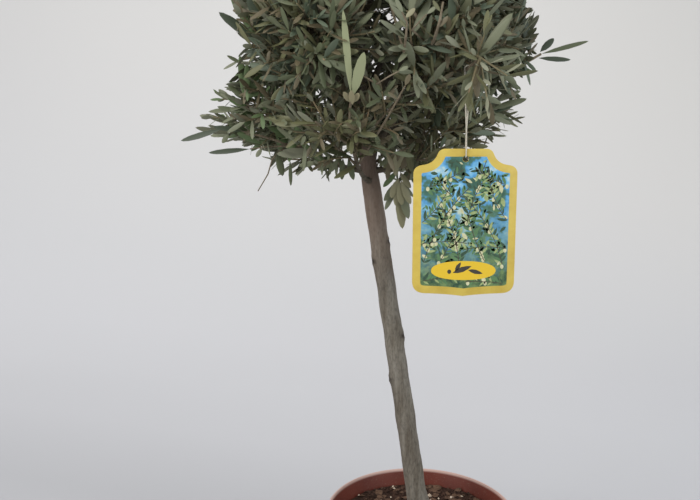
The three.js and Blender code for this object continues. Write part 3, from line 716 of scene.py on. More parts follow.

# %% [markdown]
# The bark's colour runs from pale grey to grey-brown in upright streaks, with brown patches and
# dark flecks. The trunk is browner towards its fork, where the bark is young, and the scars of the
# knots are nearly black: their own dark colour and a painted shade in their hollows. Where they
# lie was stored on the trunk's points as it was shaped.


# %% Bark finish
def bark_finish(name, stops, with_scars):
    bark = plain_finish(name, stops[0][1], 0.86, 0.25)
    streaks = grain(bark, 150, detail=6, stretch=(1, 1, 0.13), roughness=0.7)
    patches = grain(bark, 34, detail=4, stretch=(1, 1, 0.5))
    colour = mixed(bark, patches, ramp(bark, streaks, stops), (0.2, 0.17, 0.125, 1), "SOFT_LIGHT")
    fleck_stops = [(0.3, (0.45, 0.45, 0.45)), (0.55, (1, 1, 1))]
    flecks = ramp(bark, grain(bark, 520, detail=3, stretch=(1, 1, 0.4)), fleck_stops)
    colour = mixed(bark, 0.7, colour, flecks, "MULTIPLY")
    if with_scars:
        young = by_height(bark, 0.4, 0.5, most=0.6)
        colour = mixed(bark, young, colour, (0.205, 0.138, 0.105, 1))
        # Nearly black where the knots are hollow: the scar's colour and a painted shade.
        stored = add_node(bark, "ShaderNodeAttribute")
        stored.attribute_name = "scar_and_shade"
        colour = mixed(bark, stored.outputs["Fac"], colour, (0.025, 0.018, 0.013, 1))
    paint(bark, colour)
    raise_bump(bark, streaks, 0.7, 0.0014)
    return bark


TRUNK_STOPS = [(0.28, (0.112, 0.095, 0.075)), (0.48, (0.19, 0.174, 0.149)), (0.72, (0.28, 0.266, 0.236))]
BOUGH_STOPS = [(0.28, (0.075, 0.062, 0.045)), (0.5, (0.15, 0.13, 0.1)), (0.75, (0.23, 0.21, 0.165))]
finish_with(trunk, bark_finish("trunk_bark", TRUNK_STOPS, True))
finish_with(limbs, bark_finish("bough_bark", BOUGH_STOPS, False))
for piece, nodes, slot in (
    (trunk, ["trunk"], "bark"),
    (limbs, ["bough_" + mass["name"] for mass in MASSES], "twig_bark"),
):
    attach(piece, "plant")
    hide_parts(*nodes)
print("bark finishes", trunk.data.materials[0].name, "and", limbs.data.materials[0].name)

# %% [markdown]
# ## What twigs and leaves keep clear of
# A twig or leaf that would leave its mass's space, stand out of the head, touch the trunk or a
# bough, hide the trunk, or reach into the fan that the label swings through is not grown.

# %% Clearances
SKIRT_FOOT, TRUNK_VIEW = 530, 13  # half the width kept free before the trunk
HANG_POINT, HANG_TWIG_RADIUS = Vector((22.5, -108, 602)), 1.6
LABEL_TOP, LABEL_HEIGHT, LABEL_WIDTH = 537, 125, 87
SWING_LIMIT = 20
SWING_TURNS = np.radians(np.arange(-SWING_LIMIT, SWING_LIMIT + 1, 5))
STEM_ROOM, FORK_ROOM, BOUGH_ROOM = 11.2, 9, 3.4
LIMB_LINES = [  # start, end, radius
    (trunk_point(SOIL_TOP), trunk_point(NECK), STEM_ROOM),
    (trunk_point(NECK), trunk_point(TRUNK_TOP), FORK_ROOM),
]
for mass in MASSES:
    stops = [on_curve(mass["curve"], mass["entry"] * i / 5) for i in range(6)]
    LIMB_LINES += [(start, end, BOUGH_ROOM) for start, end in zip(stops, stops[1:])]
LIMB_STARTS = np.array([start for start, _, _ in LIMB_LINES])
LIMB_RUNS = np.array([end - start for start, end, _ in LIMB_LINES])
LIMB_RADII = np.array([radius for _, _, radius in LIMB_LINES])


def clear_of_limbs(places):
    offset = places[:, None] - LIMB_STARTS[None]
    along = (offset * LIMB_RUNS).sum(axis=2) / (LIMB_RUNS ** 2).sum(axis=1)
    nearest = offset - np.clip(along, 0, 1)[:, :, None] * LIMB_RUNS
    return (np.linalg.norm(nearest, axis=2) > LIMB_RADII).all(axis=1)


def clear_of_swing(places, room):
    """True for places outside the thin fan that the label and its string pass through."""
    near = abs(places[:, 1] - HANG_POINT.y) < room
    if not near.any():
        return ~near
    x, z = places[:, 0] - HANG_POINT.x, places[:, 2] - HANG_POINT.z
    drop = HANG_POINT.z - LABEL_TOP
    inside = np.zeros(len(places), bool)
    for turn in SWING_TURNS:
        across = x * math.cos(turn) + z * math.sin(turn)
        down = x * math.sin(turn) - z * math.cos(turn)
        card = (abs(across) < LABEL_WIDTH / 2 + 3) & (down > drop - 5) & (down < drop + LABEL_HEIGHT + 1)
        string = (abs(across) < 5) & (down > -6) & (down < drop + 5)
        inside |= card | string
    return ~(near & inside)


def before_the_trunk(places):
    """True for places that would hide the trunk below the skirt from the front."""
    beside = abs(places[:, 0] - trunk_point(SKIRT_FOOT).x)
    return (places[:, 1] < 0) & (places[:, 2] < SKIRT_FOOT) & (beside < TRUNK_VIEW)


def stays_inside(places, mass, margin, reach, room):
    inside = in_own_space(places, mass, margin) & (share_of_reach(places) < reach)
    return inside & clear_of_swing(places, room) & ~before_the_trunk(places)


print(len(LIMB_LINES), "lines of trunk and boughs to keep clear of")

# %% [markdown]
# ## Growing the twigs
# The stem of each mass gives off pairs of twigs, each pair a quarter turn on from the last, and
# every twig carries shorter twiglets by the same rule. Lengths are tried from long to short, and
# the first that fits is kept. The numbers are dealt from the CAD's own seeds, so that the main
# twigs lie where the CAD has them.

# %% Growing measures
SEED = 7
STEM_NODES = (  # share of the stem, angle off it, number that sets its seed
    (0.1, 84, 0), (0.42, 68, 1), (0.76, 50, 2), (0.26, 76, 3), (0.59, 60, 4), (0.93, 40, 5),
)
TWIGLET_NODES = ((0.16, 62), (0.32, 58), (0.48, 54), (0.66, 48), (0.84, 42))
LEAF_LENGTH, LEAF_WIDTH = 38, 6.8
TIP_LEAF, TIP_LEAF_WIDTH = 44, 8.4
TWIG_RADII, TWIGLET_RADII, TIP_RADII = (1.5, 0.85), (0.95, 0.55), (1.4, 0.8)  # at root and tip
TWIG_TRIALS, SHORTEST_TWIGLET, MISSING_TWIGLETS = range(80, 15, -8), 9, 0.1
TWIG_MARGIN, LEAF_MARGIN = 1.5, -3  # to the next mass's space: leaves may pass a little into it
TWIG_ROOM, LEAF_ROOM = 5, 6.5  # to the fan that the label swings through
# Masses differ in their greens as olive sprays do; those on the left also take paler greens as painted light,
# for the side the key light falls on.
MASS_GREENS = {  # leaf colours of masses that differ from the rest, which take the first five
    "skirt_left": (3, 7, 1, 7, 3), "upper_left": (4, 1, 7, 3, 3), "middle_left": (3, 1, 7, 3, 4),
    "middle_right": (0, 7, 1, 3, 4), "upper_right": (3, 3, 1, 7, 4), "skirt_front": (2, 6, 1, 0, 6),
    "middle_front_left": (2, 1, 6, 0, 4), "upper_front": (0, 1, 2, 4, 0),
}
TWIG_SIZE = {"skirt": 0.7, "middle": 0.76, "upper": 1.02, "top": 1.05}
TWIGLET_SIZE = {"skirt": 0.38, "middle": 0.42, "upper": 0.56, "top": 0.56}
TIPS = {  # long shoots that leave the head: mass, and where its last leaf ends
    "upper_right": (107, -20, 762), "upper_back_left": (-113, 92, 812),
    "top_leader": (-41, -12, 842), "middle_back_right": (55, 160, 690),
}


# %% Growing helpers
def seeded(seed):
    """The same stream of numbers between 0 and 1 as the CAD's rule deals for a seed."""
    state = seed

    def deal():
        nonlocal state
        state = (state + 0x6D2B79F5) & 0xFFFFFFFF
        mix = ((state ^ (state >> 15)) * (1 | state)) & 0xFFFFFFFF
        mix = ((mix + (((mix ^ (mix >> 7)) * (61 | mix)) & 0xFFFFFFFF)) & 0xFFFFFFFF) ^ mix
        return ((mix ^ (mix >> 14)) & 0xFFFFFFFF) / 4294967296

    return deal


def sideways(along, turn):
    """A way at right angles to another, turned about it."""
    side = UP.cross(along)
    if side.length < 0.2:
        side = Vector((1, 0, 0)).cross(along)
    side.normalize()
    return side * math.cos(turn) + along.cross(side) * math.sin(turn)


def bent_line(root, along, end, steps):
    """A line that leaves its root along one way and bends to its end."""
    bend = root + along.normalized() * 0.38 * (end - root).length
    return [on_curve((root, bend, end), i / steps) for i in range(steps + 1)]


def grow_twig(mass, root, along, lengths, pull, seed, reach, steps=4):
    """The longest trial of a twig that fits, as a line of places, or None."""
    deal = seeded(seed)
    stray = Vector((deal() - 0.5, deal() - 0.5, deal() - 0.5)) * 0.25
    way = (along.normalized() + pull + stray).normalized()
    for length in lengths:
        line = bent_line(root, along, root + way * length, steps)
        outer = np.array([place for place in line if (place - root).length > 5])
        inside = stays_inside(outer, mass, TWIG_MARGIN, reach, TWIG_ROOM)
        if inside.all() and clear_of_limbs(outer).all():
            return line
    return None


def place_along(line, distance):
    """The place on a line at a distance from its root, and the way the line runs there."""
    for start, end in zip(line, line[1:]):
        run = (end - start).length
        if distance <= run or end is line[-1]:
            along = (end - start).normalized()
            return start + along * min(distance, run), along
        distance -= run


def line_length(line):
    return sum((end - start).length for start, end in zip(line, line[1:]))


# %% Twigs, twiglets and tip shoots
twigs = []


def add_twig(mass, line, root_radius, tip_radius, kind, seed, bare, spray, **leafing):
    """Keeps a twig. bare is the share of it without leaves, spray the number of its colour group."""
    twig = {"mass": mass, "line": line, "radii": (root_radius, tip_radius), "kind": kind,
            "seed": seed, "bare": bare, "spray": spray, "size": 1, "angle": 48, "reach": 1.07}
    twig.update(leafing)
    twig["pitch"] = 3.6 + 5.6 * twig["size"]
    twigs.append(twig)


def leaning(along, side, angle):
    """A way that leaves another at an angle in degrees, to one side."""
    return along * math.cos(math.radians(angle)) + side * math.sin(math.radians(angle))


def grow_twiglets(mass, parent, seed, spray, reach):
    whole = line_length(parent)
    deal = seeded(seed + 3)
    turn = deal() * math.pi
    for node, (share, angle) in enumerate(TWIGLET_NODES):
        if whole < 30 and node % 2:
            continue
        root, along = place_along(parent, whole * share)
        for half in (0, 1):
            if deal() < MISSING_TWIGLETS:
                continue
            way = leaning(along, sideways(along, turn + node * math.pi / 2 + half * math.pi), angle)
            longest = 16 + (0.62 + 0.3 * deal()) * whole * (1 - 0.6 * share)
            lengths = np.arange(longest, SHORTEST_TWIGLET, -5)
            own = seed + 13 * node + half
            line = grow_twig(mass, root, way, lengths, mass["out"] * 0.22 + UP * 0.1, own, reach - 0.045)
            if line:
                size = TWIGLET_SIZE[mass["tier"]] + 0.5 * deal() ** 2
                add_twig(mass, line, *TWIGLET_RADII, "green", own + 5, 0.12, spray, reach=reach, size=size)


def grow_tip_shoot(mass, stem, tip):
    """A long shoot from the middle of the stem, whose last leaf ends at the tip."""
    start, _ = place_along(stem, line_length(stem) * 0.5)
    end = tip.lerp(start, TIP_LEAF / (tip - start).length)
    middle = start.lerp(end, 0.5) + UP * 5
    line = [on_curve((start, middle * 2 - (start + end) / 2, end), step / 8) for step in range(9)]
    leafing = {"angle": 30, "reach": 2, "size": 1.1, "tip": tip}
    index = mass["index"]
    add_twig(mass, line, *TIP_RADII, "grey", SEED + 50 * index, 0.6, 12 * index, **leafing)


# %% Grow every mass's twigs
for mass in MASSES:
    index = mass["index"]
    stem = [on_curve(mass["curve"], mass["entry"] + (1 - mass["entry"]) * i / 8) for i in range(9)]
    whole = line_length(stem)
    pull = mass["out"] * 0.3 + UP * 0.15
    for share, angle, node in STEM_NODES:
        root, along = place_along(stem, whole * share)
        for half in (0, 1):
            turn = math.radians(45) + node * math.pi / 2 + half * math.pi
            if node > 2:
                turn += math.pi / 4
            way = leaning(along, sideways(along, turn), angle)
            seed = SEED + 1000 * index + 20 * node + half
            reach = 0.92 + 0.14 * seeded(seed + 9)()
            line = grow_twig(mass, root, way, TWIG_TRIALS, pull, seed, reach - 0.08)
            if line:
                spray, size = 12 * index + 2 * node + half, TWIG_SIZE[mass["tier"]]
                add_twig(mass, line, *TWIG_RADII, "grey", seed + 7, 0.28, spray, reach=reach, size=size)
                grow_twiglets(mass, line, seed + 400, spray, reach)
    add_twig(mass, stem, 0, 0, "none", SEED + 31 * index, 0.45, 12 * index)
    if mass["name"] in TIPS:
        grow_tip_shoot(mass, stem, Vector(TIPS[mass["name"]]))
print(len(twigs), "twigs")

# %% [markdown]
# ## Shoots that catch the eye
# Most leaves grow by rule, but these few stand clear of the rest and are known by their places,
# which were read off the photo: pixels across, pixels down, and a depth in millimetres that
# keeps them in their mass. The camera's own `seen` turns each into a place on the tree.
# One more twig runs out to the front and carries the label's loop. A stub to the left of it ends
# in young leaves that show their pale undersides, just left of the trunk.

# %% Shoots that show singly: mass, radius at the root, places along it, and its leaves
# Each leaf: root, tip, width in millimetres, its green among the leaf colours, its underside.
# Green 8 among them is a painted shade and green 9 a painted sunlit olive.
SHOOTS = (
    # Long leaves that curl out at the upper left
    ("upper_left", 1.5, ((285, 61, -84), (264, 47, -80)), (
        ((263, 44, -80), (219, 11, -75), 10.2, 8, 1),
        ((263, 43, -80), (231, -5, -71), 9.3, 7, 1),
        ((268, 44, -82), (248, -9, -78), 11.1, 4, 0),
        ((271, 44, -84), (267, -6, -90), 9.2, 4, 0),
        ((267, 48, -80), (243, 52, -77), 4.0, 8, 0),
    )),
    # The upright cluster at the left edge
    ("middle_left", 1.4, ((268, 118, -40), (246, 104, -44)), (
        ((246, 103, -44), (240, 55, -40), 7.4, 7, 1),
        ((247, 101, -46), (247, 62, -48), 6.0, 7, 1),
        ((243, 98, -42), (228, 84, -38), 5.5, 0, 1),
        ((243, 103, -42), (214, 91, -38), 5.5, 0, 0),
        ((242, 108, -42), (208, 111, -36), 6.0, 1, 1),
        ((243, 64, -40), (227, 55, -38), 4.2, 0, 0),
        ((247, 106, -46), (228, 97, -50), 7.8, 7, 1),
        ((244, 112, -42), (217, 106, -38), 5.5, 0, 1),
        ((240, 60, -38), (223, 69, -36), 3.2, 3, 0),
    )),
    # The lowest long shoot at the left
    ("skirt_left", 1.5, ((275, 140, -34), (246, 132, -30), (222, 129, -26)), (
        ((222, 129, -26), (180, 140, -16), 7.1, 8, 1),
        ((246, 131, -30), (213, 126, -30), 6.1, 8, 1),
        ((244, 132, -32), (217, 113, -34), 5.6, 1, 1),
        ((250, 133, -30), (229, 125, -28), 7.5, 7, 0),
        ((256, 135, -32), (238, 108, -40), 8.4, 7, 1),
        ((229, 133, -26), (222, 143, -26), 5.2, 1, 0),
    )),
    # A second one under it
    ("skirt_left", 1.2, ((285, 146, -30), (266, 147, -26), (250, 149, -24)), (
        ((250, 149, -24), (208, 152, -16), 6.2, 8, 0),
        ((264, 147, -26), (232, 130, -22), 8.0, 0, 1),
        ((262, 148, -26), (256, 157, -26), 4.7, 3, 0),
    )),
    # A thin shoot that hangs at the lower left
    ("skirt_left", 0.9, ((280, 150, -28), (272, 160, -26), (268, 174, -24), (258, 191, -20)), (
        ((277, 152, -28), (283, 176, -28), 7.5, 0, 0),
        ((290, 160, -30), (291, 186, -30), 3.8, 0, 0),
    )),
    # Leaves that hang just left of the trunk's neck
    ("skirt_front", 1.2, ((340, 150, -62), (348, 158, -60)), (
        ((343, 158, -60), (342, 180, -58), 5.8, 0, 0),
        ((348, 158, -60), (354, 180, -58), 6.3, 0, 0),
        ((338, 158, -62), (331, 172, -60), 4.5, 1, 1),
    )),
    # The long shoot at the right edge
    ("middle_right", 2.2, ((498, 79, -20), (520, 66, -20), (541, 54, -18)), (
        ((541, 54, -18), (589, 40, -16), 5.3, 0, 1),
        ((540, 52, -18), (554, 38, -16), 6.7, 8, 0),
        ((538, 58, -19), (571, 59, -18), 6.2, 8, 0),
        ((530, 58, -20), (526, 17, -22), 8.1, 8, 1),
        ((512, 71, -20), (519, 48, -22), 7.6, 3, 0),
        ((507, 75, -20), (524, 70, -16), 5.7, 2, 1),
        ((506, 76, -22), (521, 24, -30), 8.6, 2, 1),
    )),
    # A short one under it
    ("skirt_right", 1.2, ((478, 104, -26), (491, 110, -24)), (
        ((491, 109, -24), (527, 98, -20), 7.6, 1, 1),
        ((492, 111, -24), (513, 122, -22), 7.1, 1, 0),
        ((488, 104, -26), (521, 90, -22), 6.1, 3, 1),
        ((488, 114, -26), (512, 124, -26), 5.7, 3, 0),
    )),
    # The sprig that hangs between the trunk and the label
    ("skirt_right", 1.4, ((420, 150, -36), (403, 160, -40), (399, 182, -40)), (
        ((399, 182, -40), (403, 229, -40), 10.2, 9, 1),
        ((400, 182, -41), (409, 219, -42), 9.2, 3, 0),
        ((398, 181, -40), (384, 201, -42), 6.5, 1, 1),
        ((397, 184, -39), (385, 210, -38), 5.6, 3, 1),
        ((400, 180, -40), (414, 197, -42), 4.6, 3, 0),
        ((398, 170, -40), (383, 187, -40), 5.6, 7, 1),
        ((400, 172, -41), (411, 188, -44), 6.5, 9, 1),
        ((402, 164, -40), (387, 172, -42), 5.6, 6, 0),
        ((399, 180, -42), (396, 206, -46), 7.4, 9, 1),
        ((406, 158, -39), (392, 163, -44), 5.2, 3, 1),
        ((410, 155, -38), (421, 171, -42), 5.4, 1, 1),
        ((404, 167, -40), (417, 176, -42), 5.0, 6, 1),
        ((414, 152, -37), (406, 170, -42), 5.6, 9, 1),
        ((400, 181, -43), (402, 205, -48), 8.4, 9, 1),
        ((401, 180, -43), (411, 204, -48), 7.4, 9, 1),
        ((399, 178, -42), (391, 198, -46), 7.5, 9, 1),
    )),
    # Leaves over the top of that sprig
    ("skirt_right", 1.1, ((414, 146, -42), (402, 150, -46), (391, 156, -47)), (
        ((411, 147, -43), (402, 169, -50), 7.0, 6, 1),
        ((406, 149, -44), (394, 171, -50), 7.0, 9, 1),
        ((402, 150, -46), (388, 169, -50), 6.5, 6, 1),
        ((398, 152, -46), (383, 168, -48), 6.0, 2, 1),
        ((395, 154, -47), (396, 176, -52), 6.5, 9, 0),
        ((392, 156, -47), (379, 166, -48), 5.1, 1, 1),
        ((391, 156, -47), (387, 180, -50), 5.5, 6, 1),
        ((408, 148, -44), (412, 172, -50), 7.0, 2, 1),
    )),
    # Two upright twigs high in the front
    ("upper_front", 1.2, ((404, 52, -135), (406, 36, -148), (407, 22, -150), (402, 12, -150)), (
        ((403, 13, -150), (396, -2, -148), 4.3, 3, 1),
        ((405, 18, -150), (415, 8, -152), 4.3, 9, 1),
        ((407, 28, -150), (400, 20, -152), 3.5, 2, 1),
    )),
    ("upper_front", 1.7, ((433, 44, -130), (436, 34, -146), (440, 20, -150), (443, 2, -148)), (
        ((438, 28, -148), (448, 16, -152), 3.9, 6, 1),
        ((441, 12, -149), (433, 0, -150), 3.9, 2, 1),
    )),
    # Three thin twigs that cross the front
    ("middle_front_right", 0.9, ((412, 30, -146), (420, 21, -149), (427, 14, -149)), (
        ((427, 14, -149), (436, 6, -150), 3.5, 3, 0),
    )),
    ("middle_front_left", 0.9, ((377, 84, -138), (388, 77, -146), (399, 71, -147)), (
        ((399, 71, -147), (408, 66, -146), 3.5, 3, 1),
    )),
    ("skirt_front", 1.1, ((386, 120, -120), (395, 104, -134), (405, 86, -142)), (
        ((405, 86, -142), (410, 74, -144), 4.0, 6, 1),
        ((398, 99, -138), (388, 92, -142), 4.0, 6, 1),
    )),
)
for i, (name, radius, places, _) in enumerate(SHOOTS):
    mass = by_name[name]
    start = on_curve(mass["curve"], mass["entry"] + (1 - mass["entry"]) * 0.5)
    line = [start] + [seen(*place) for place in places]
    add_twig(mass, line, radius, 0.55 * radius, "grey", SEED + 70 + i, 1, 0)
print(len(SHOOTS), "shoots that show singly")

# %% Hang twig and pale shoot
label_mass = by_name["middle_front_right"]
inner, outer = HANG_POINT + Vector((0, 12, 0)), HANG_POINT - Vector((0, 12, 0))
start = on_curve(label_mass["curve"], label_mass["entry"] + (1 - label_mass["entry"]) / 6)
hang_line = [start, start.lerp(inner, 0.5) + UP * 1.5, inner, outer, outer + Vector((5, -14, 6))]
add_twig(label_mass, hang_line, HANG_TWIG_RADIUS, 1.5, "grey", SEED + 5, 0.86, 3, reach=1.2)
HANG_TWIGLETS = (  # way, length
    ((-0.75, -0.2, 0.3), 20), ((0.2, -0.35, 0.8), 23), ((-0.3, -0.22, -0.9), 30), ((0.7, -0.2, -0.5), 26),
    ((0.16, -0.2, -0.95), 34),
)
for i, (way, length) in enumerate(HANG_TWIGLETS):
    root = hang_line[-1] if i != 1 else outer.lerp(hang_line[-1], 0.6)
    line = bent_line(root, Vector(way), root + Vector(way).normalized() * length, 4)
    add_twig(label_mass, line, 0.9, 0.6, "green", SEED + 60 + i, 0.1, 3, reach=1.3, size=0.6, main=2)
pale_mass = by_name["skirt_front"]
start = on_curve(pale_mass["curve"], 0.72)
pale_root = Vector((-73, -139, 577))
pale_line = [on_curve((start, Vector((-77, -112, 552)), pale_root), step / 6) for step in range(7)]
add_twig(pale_mass, pale_line, 1.3, 0.9, "grey", SEED + 6, 1, 0)
PALE_LEAVES = (  # root, tip, width, above, below: held with their undersides to the front
    ((-73, -139, 577), (-79, -143, 642), 5.8, 5, 2),
    ((-72, -139, 577), (-63, -151, 610), 8.6, 5, 2),
    ((-74, -138, 573), (-79, -144, 581), 4.6, 6, 3),
    ((-71, -138, 573), (-67, -144, 580), 4.6, 6, 3),
    ((-72, -139, 571), (-73, -146, 582), 5.0, 6, 3),
)
HANG_LEAVES = (  # root, tip, width, above, below: in front of the string's top
    ((25, -124, 605), (17, -119, 578), 7.6, 1, 1), ((26, -126, 605), (29, -122, 577), 7.2, 6, 1),
    ((24, -122, 603), (22, -118, 588), 6.4, 3, 0), ((20, -121, 586), (24, -119, 566), 6.0, 2, 1),
)
print(len(HANG_TWIGLETS), "twiglets round the string and", len(PALE_LEAVES), "pale leaves")

# %% [markdown]
# ## Leaves
# An olive leaf is a narrow lance, 25 to 50 mm long here, grey-green above, paler below, with its
# edges rolled a little under and a ridge along the back. One leaf of 36 faces is set out here,
# and each leaf that grows is that shape at its own size, turn, fold and droop.

# %% Leaf shape
STATIONS = (0.09, 0.29, 0.56, 0.8, 0.94)
HALF_WIDTHS = (0.24, 0.78, 1.0, 0.8, 0.42)
ACROSS = (-1, -0.5, 0, 0.5, 1, 0)
LIFT = (-0.16, 0.03, -0.07, 0.03, -0.16, -0.2)


def leaf_template():
    """Places as (share across, share along, lift) and the faces of one leaf."""
    places = [(0, 0, 0)]
    for station, half in zip(STATIONS, HALF_WIDTHS):
        places += [(across * half, station, lift * half) for across, lift in zip(ACROSS, LIFT)]
    places.append((0, 1, 0))
    count, last = len(ACROSS), len(places) - 1
    faces = [(0, 1 + i, 1 + (i + 1) % count) for i in range(count)]
    for row in range(len(STATIONS) - 1):
        base = 1 + row * count
        for i in range(count):
            after = (i + 1) % count
            faces.append((base + i, base + count + i, base + count + after, base + after))
    base = 1 + (len(STATIONS) - 1) * count
    faces += [(base + i, last, base + (i + 1) % count) for i in range(count)]
    below = [i % count >= 4 for i in range(len(faces))]
    return np.array(places), faces, np.array(below)


LEAF_PLACES, LEAF_FACES, LEAF_BELOW = leaf_template()
TURNS = np.radians((0, 30, -30, 60, -60, 85, -85))
TILTS = np.radians((0, 14, -14, 28))
SIZES = np.array((1, 0.8, 0.62))
print("one leaf has", len(LEAF_FACES), "faces")


# %% Growing the leaves
BRONZE = 6  # its place among the greens below
MISSING_LEAVES, MAIN_GREEN, BRONZE_LEAVES, SAGE_BELOW = 0.07, 0.7, 0.26, 0.35  # shares of the leaves
FACING_FRONT, FACING_BACK, FACING_TIP = (0.15, -0.8, 0.5), (0.15, 0.95, 0.1), (0.1, -0.75, 0.65)
leaves = []  # each: mass, root, side, way, normal, length, width, droop, colour above, below


def try_leaf(twig, root, along, angle, turn, deal, colour):
    """Adds the leaf if, in one of a few turns and sizes, it keeps to its space."""
    mass = twig["mass"]
    length = LEAF_LENGTH * twig["size"] * (0.6 + 0.55 * deal())
    width = LEAF_WIDTH * (0.8 + 0.4 * deal()) * (0.34 + 0.66 * length / LEAF_LENGTH)
    droop = 0.02 + 0.14 * deal()
    straight, flat = np.array(along), np.array(sideways(along, 0))
    up = np.cross(straight, flat)
    turns = (turn + TURNS + 0.3 * (deal() - 0.5))[:, None]
    sides = (np.cos(turns) * flat + np.sin(turns) * up)[:, None]
    leans = (angle + 0.25 * (deal() - 0.5) + TILTS)[:, None]
    ways = (np.cos(leans) * straight + np.sin(leans) * sides).reshape(-1, 3)
    face = straight + 0.22 * np.array(UP) + 0.5 * (np.array((deal(), deal(), deal())) - 0.5)
    across = np.cross(ways, face)
    across /= np.linalg.norm(across, axis=1)[:, None]
    normals = np.cross(across, ways)
    lengths = np.repeat(SIZES * length, len(ways))[:, None]
    ways, across, normals = (np.tile(values, (len(SIZES), 1)) for values in (ways, across, normals))
    foot = np.array(root)
    marks = np.stack([
        foot + ways * lengths * 0.3,
        foot + ways * lengths * 0.55 + across * width / 2,
        foot + ways * lengths * 0.55 - across * width / 2,
        foot + ways * lengths * 0.8 - normals * lengths * droop * 0.64,
        foot + ways * lengths - normals * lengths * droop,
    ], axis=1)
    fits = stays_inside(marks.reshape(-1, 3), mass, LEAF_MARGIN, twig["reach"], LEAF_ROOM)
    fits = fits.reshape(len(ways), -1).all(axis=1)
    best = next((i for i in np.flatnonzero(fits) if clear_of_limbs(marks[i]).all()), None)
    if best is None:
        return
    size = float(lengths[best, 0])
    leaves.append((mass["name"], foot, across[best], ways[best], normals[best], size,
                   width * (0.55 + 0.45 * size / length), droop, colour, int(deal() < SAGE_BELOW)))


def hold_leaf(name, root, tip, width, facing, above, below):
    """Adds one leaf from a root to a tip, with its upper side facing a way."""
    root, tip = np.array(root, float), np.array(tip, float)
    length = float(np.linalg.norm(tip - root))
    way = (tip - root) / length
    across = np.cross(way, facing)
    across /= np.linalg.norm(across)
    leaves.append((name, root, across, way, np.cross(across, way), length, width, 0.03, above, below))


# %% Leaves along every twig
def leaf_twig(twig):
    """Pairs of leaves, each a quarter turn on from the last, and one at the tip."""
    deal = seeded(twig["seed"] + 90)
    whole = line_length(twig["line"])
    start = seeded(twig["seed"])() * math.pi
    spray_deal = seeded(SEED + 17 * twig["spray"])
    spray_deal()
    greens = MASS_GREENS.get(twig["mass"]["name"], range(5))
    main = twig.get("main", greens[int(spray_deal() * len(greens))])
    root, along = place_along(twig["line"], whole - 0.5)
    if "tip" in twig:
        hold_leaf(twig["mass"]["name"], root, twig["tip"], TIP_LEAF_WIDTH, FACING_TIP, main, 1)
    else:
        try_leaf(twig, root, along, math.radians(6), start, deal, main)
    pairs = int(whole * (1 - twig["bare"]) / twig["pitch"])
    for pair in range(pairs + 1):
        back = whole - 3 - pair * twig["pitch"]
        if back < 2:
            break
        root, along = place_along(twig["line"], back)
        turn = start + pair * math.pi / 2
        angle = twig["angle"]
        if angle > 40:
            angle = min(angle + 8, 26 + 13 * pair)
        for half in (0, math.pi):
            if deal() > MISSING_LEAVES:
                colour = main if deal() < MAIN_GREEN else greens[int(deal() * len(greens))]
                if twig["size"] < 0.7 and deal() < BRONZE_LEAVES:
                    colour = BRONZE
                try_leaf(twig, root, along, math.radians(angle), turn + half, deal, colour)


for twig in twigs:
    if twig["bare"] < 1:
        leaf_twig(twig)
print(len(leaves), "leaves")

# %% Leaves that show singly
for root, tip, width, above, below in PALE_LEAVES:
    hold_leaf(pale_mass["name"], root, tip, width, FACING_BACK, above, below)
for root, tip, width, above, below in HANG_LEAVES:
    hold_leaf(label_mass["name"], root, tip, width, FACING_FRONT, above, below)
for name, _, _, shown in SHOOTS:
    for root, tip, width, above, below in shown:
        hold_leaf(name, seen(*root), seen(*tip), width, FACING_FRONT, above, below)
print(len(leaves), "leaves with those")

# %% [markdown]
# Each leaf has two plain colours, one above and one below. A whole spray shares one of its mass's
# five greens, as leaves of one age do, with strays and a few bronze young leaves among them.

# %% Leaf colours
GREENS = (
    ("leaf_deep_green", (0.095, 0.11, 0.058)), ("leaf_grey_green", (0.124, 0.136, 0.078)),
    ("leaf_olive_green", (0.128, 0.128, 0.062)), ("leaf_dusty_green", (0.17, 0.182, 0.115)),
    ("leaf_blue_green", (0.095, 0.12, 0.078)), ("leaf_young_green", (0.26, 0.29, 0.17)),
    ("leaf_bronze", (0.125, 0.104, 0.06)), ("leaf_fresh_green", (0.102, 0.147, 0.062)),
    # The last two greens are painted light: a near-black painted shade for leaves that lie in shadow, and a
    # pale olive painted sunlight for leaves that catch the light.
    ("leaf_painted_shade_green", (0.048, 0.062, 0.038)), ("leaf_painted_sunlit_olive", (0.24, 0.225, 0.135)),
)
UNDERSIDES = (
    ("underside_silver", (0.26, 0.265, 0.185)), ("underside_sage", (0.18, 0.185, 0.112)),
    ("underside_young", (0.25, 0.27, 0.155)), ("bud_scale", (0.245, 0.22, 0.13)),
)
leaf_finishes = [plain_finish(name, colour, 0.5, 0.3) for name, colour in GREENS]
leaf_finishes += [plain_finish(name, colour, 0.75, 0.25) for name, colour in UNDERSIDES]
print(len(GREENS), "greens and", len(UNDERSIDES), "undersides")


# %% Joined leaves
def leaves_of(name, names):
    """One joined piece of every leaf of some masses."""
    grown = [leaf for leaf in leaves if leaf[0] in names]
    foot, across, way, normal = (np.array([leaf[i] for leaf in grown])[:, None] for i in (1, 2, 3, 4))
    length, width, droop = (np.array([leaf[i] for leaf in grown])[:, None, None] for i in (5, 6, 7))
    share_across, share_along, lift = (LEAF_PLACES[None, :, i:i + 1] for i in (0, 1, 2))
    places = foot + across * share_across * width / 2 + way * share_along * length
    places = places + normal * (lift * width / 2 - droop * length * share_along ** 2)
    count = len(LEAF_PLACES)
    corners = [tuple(i * count + corner for corner in face) for i in range(len(grown)) for face in LEAF_FACES]
    piece = mesh_piece("leaves_" + name, places.reshape(-1, 3) * MM, corners)
    for material in leaf_finishes:
        piece.data.materials.append(material)
    above = np.array([leaf[8] for leaf in grown])[:, None]
    below = np.array([leaf[9] for leaf in grown])[:, None] + len(GREENS)
    which = np.where(LEAF_BELOW[None], below, above).astype(np.int32)
    piece.data.polygons.foreach_set("material_index", which.ravel())
    smooth(piece, 75)
    return piece


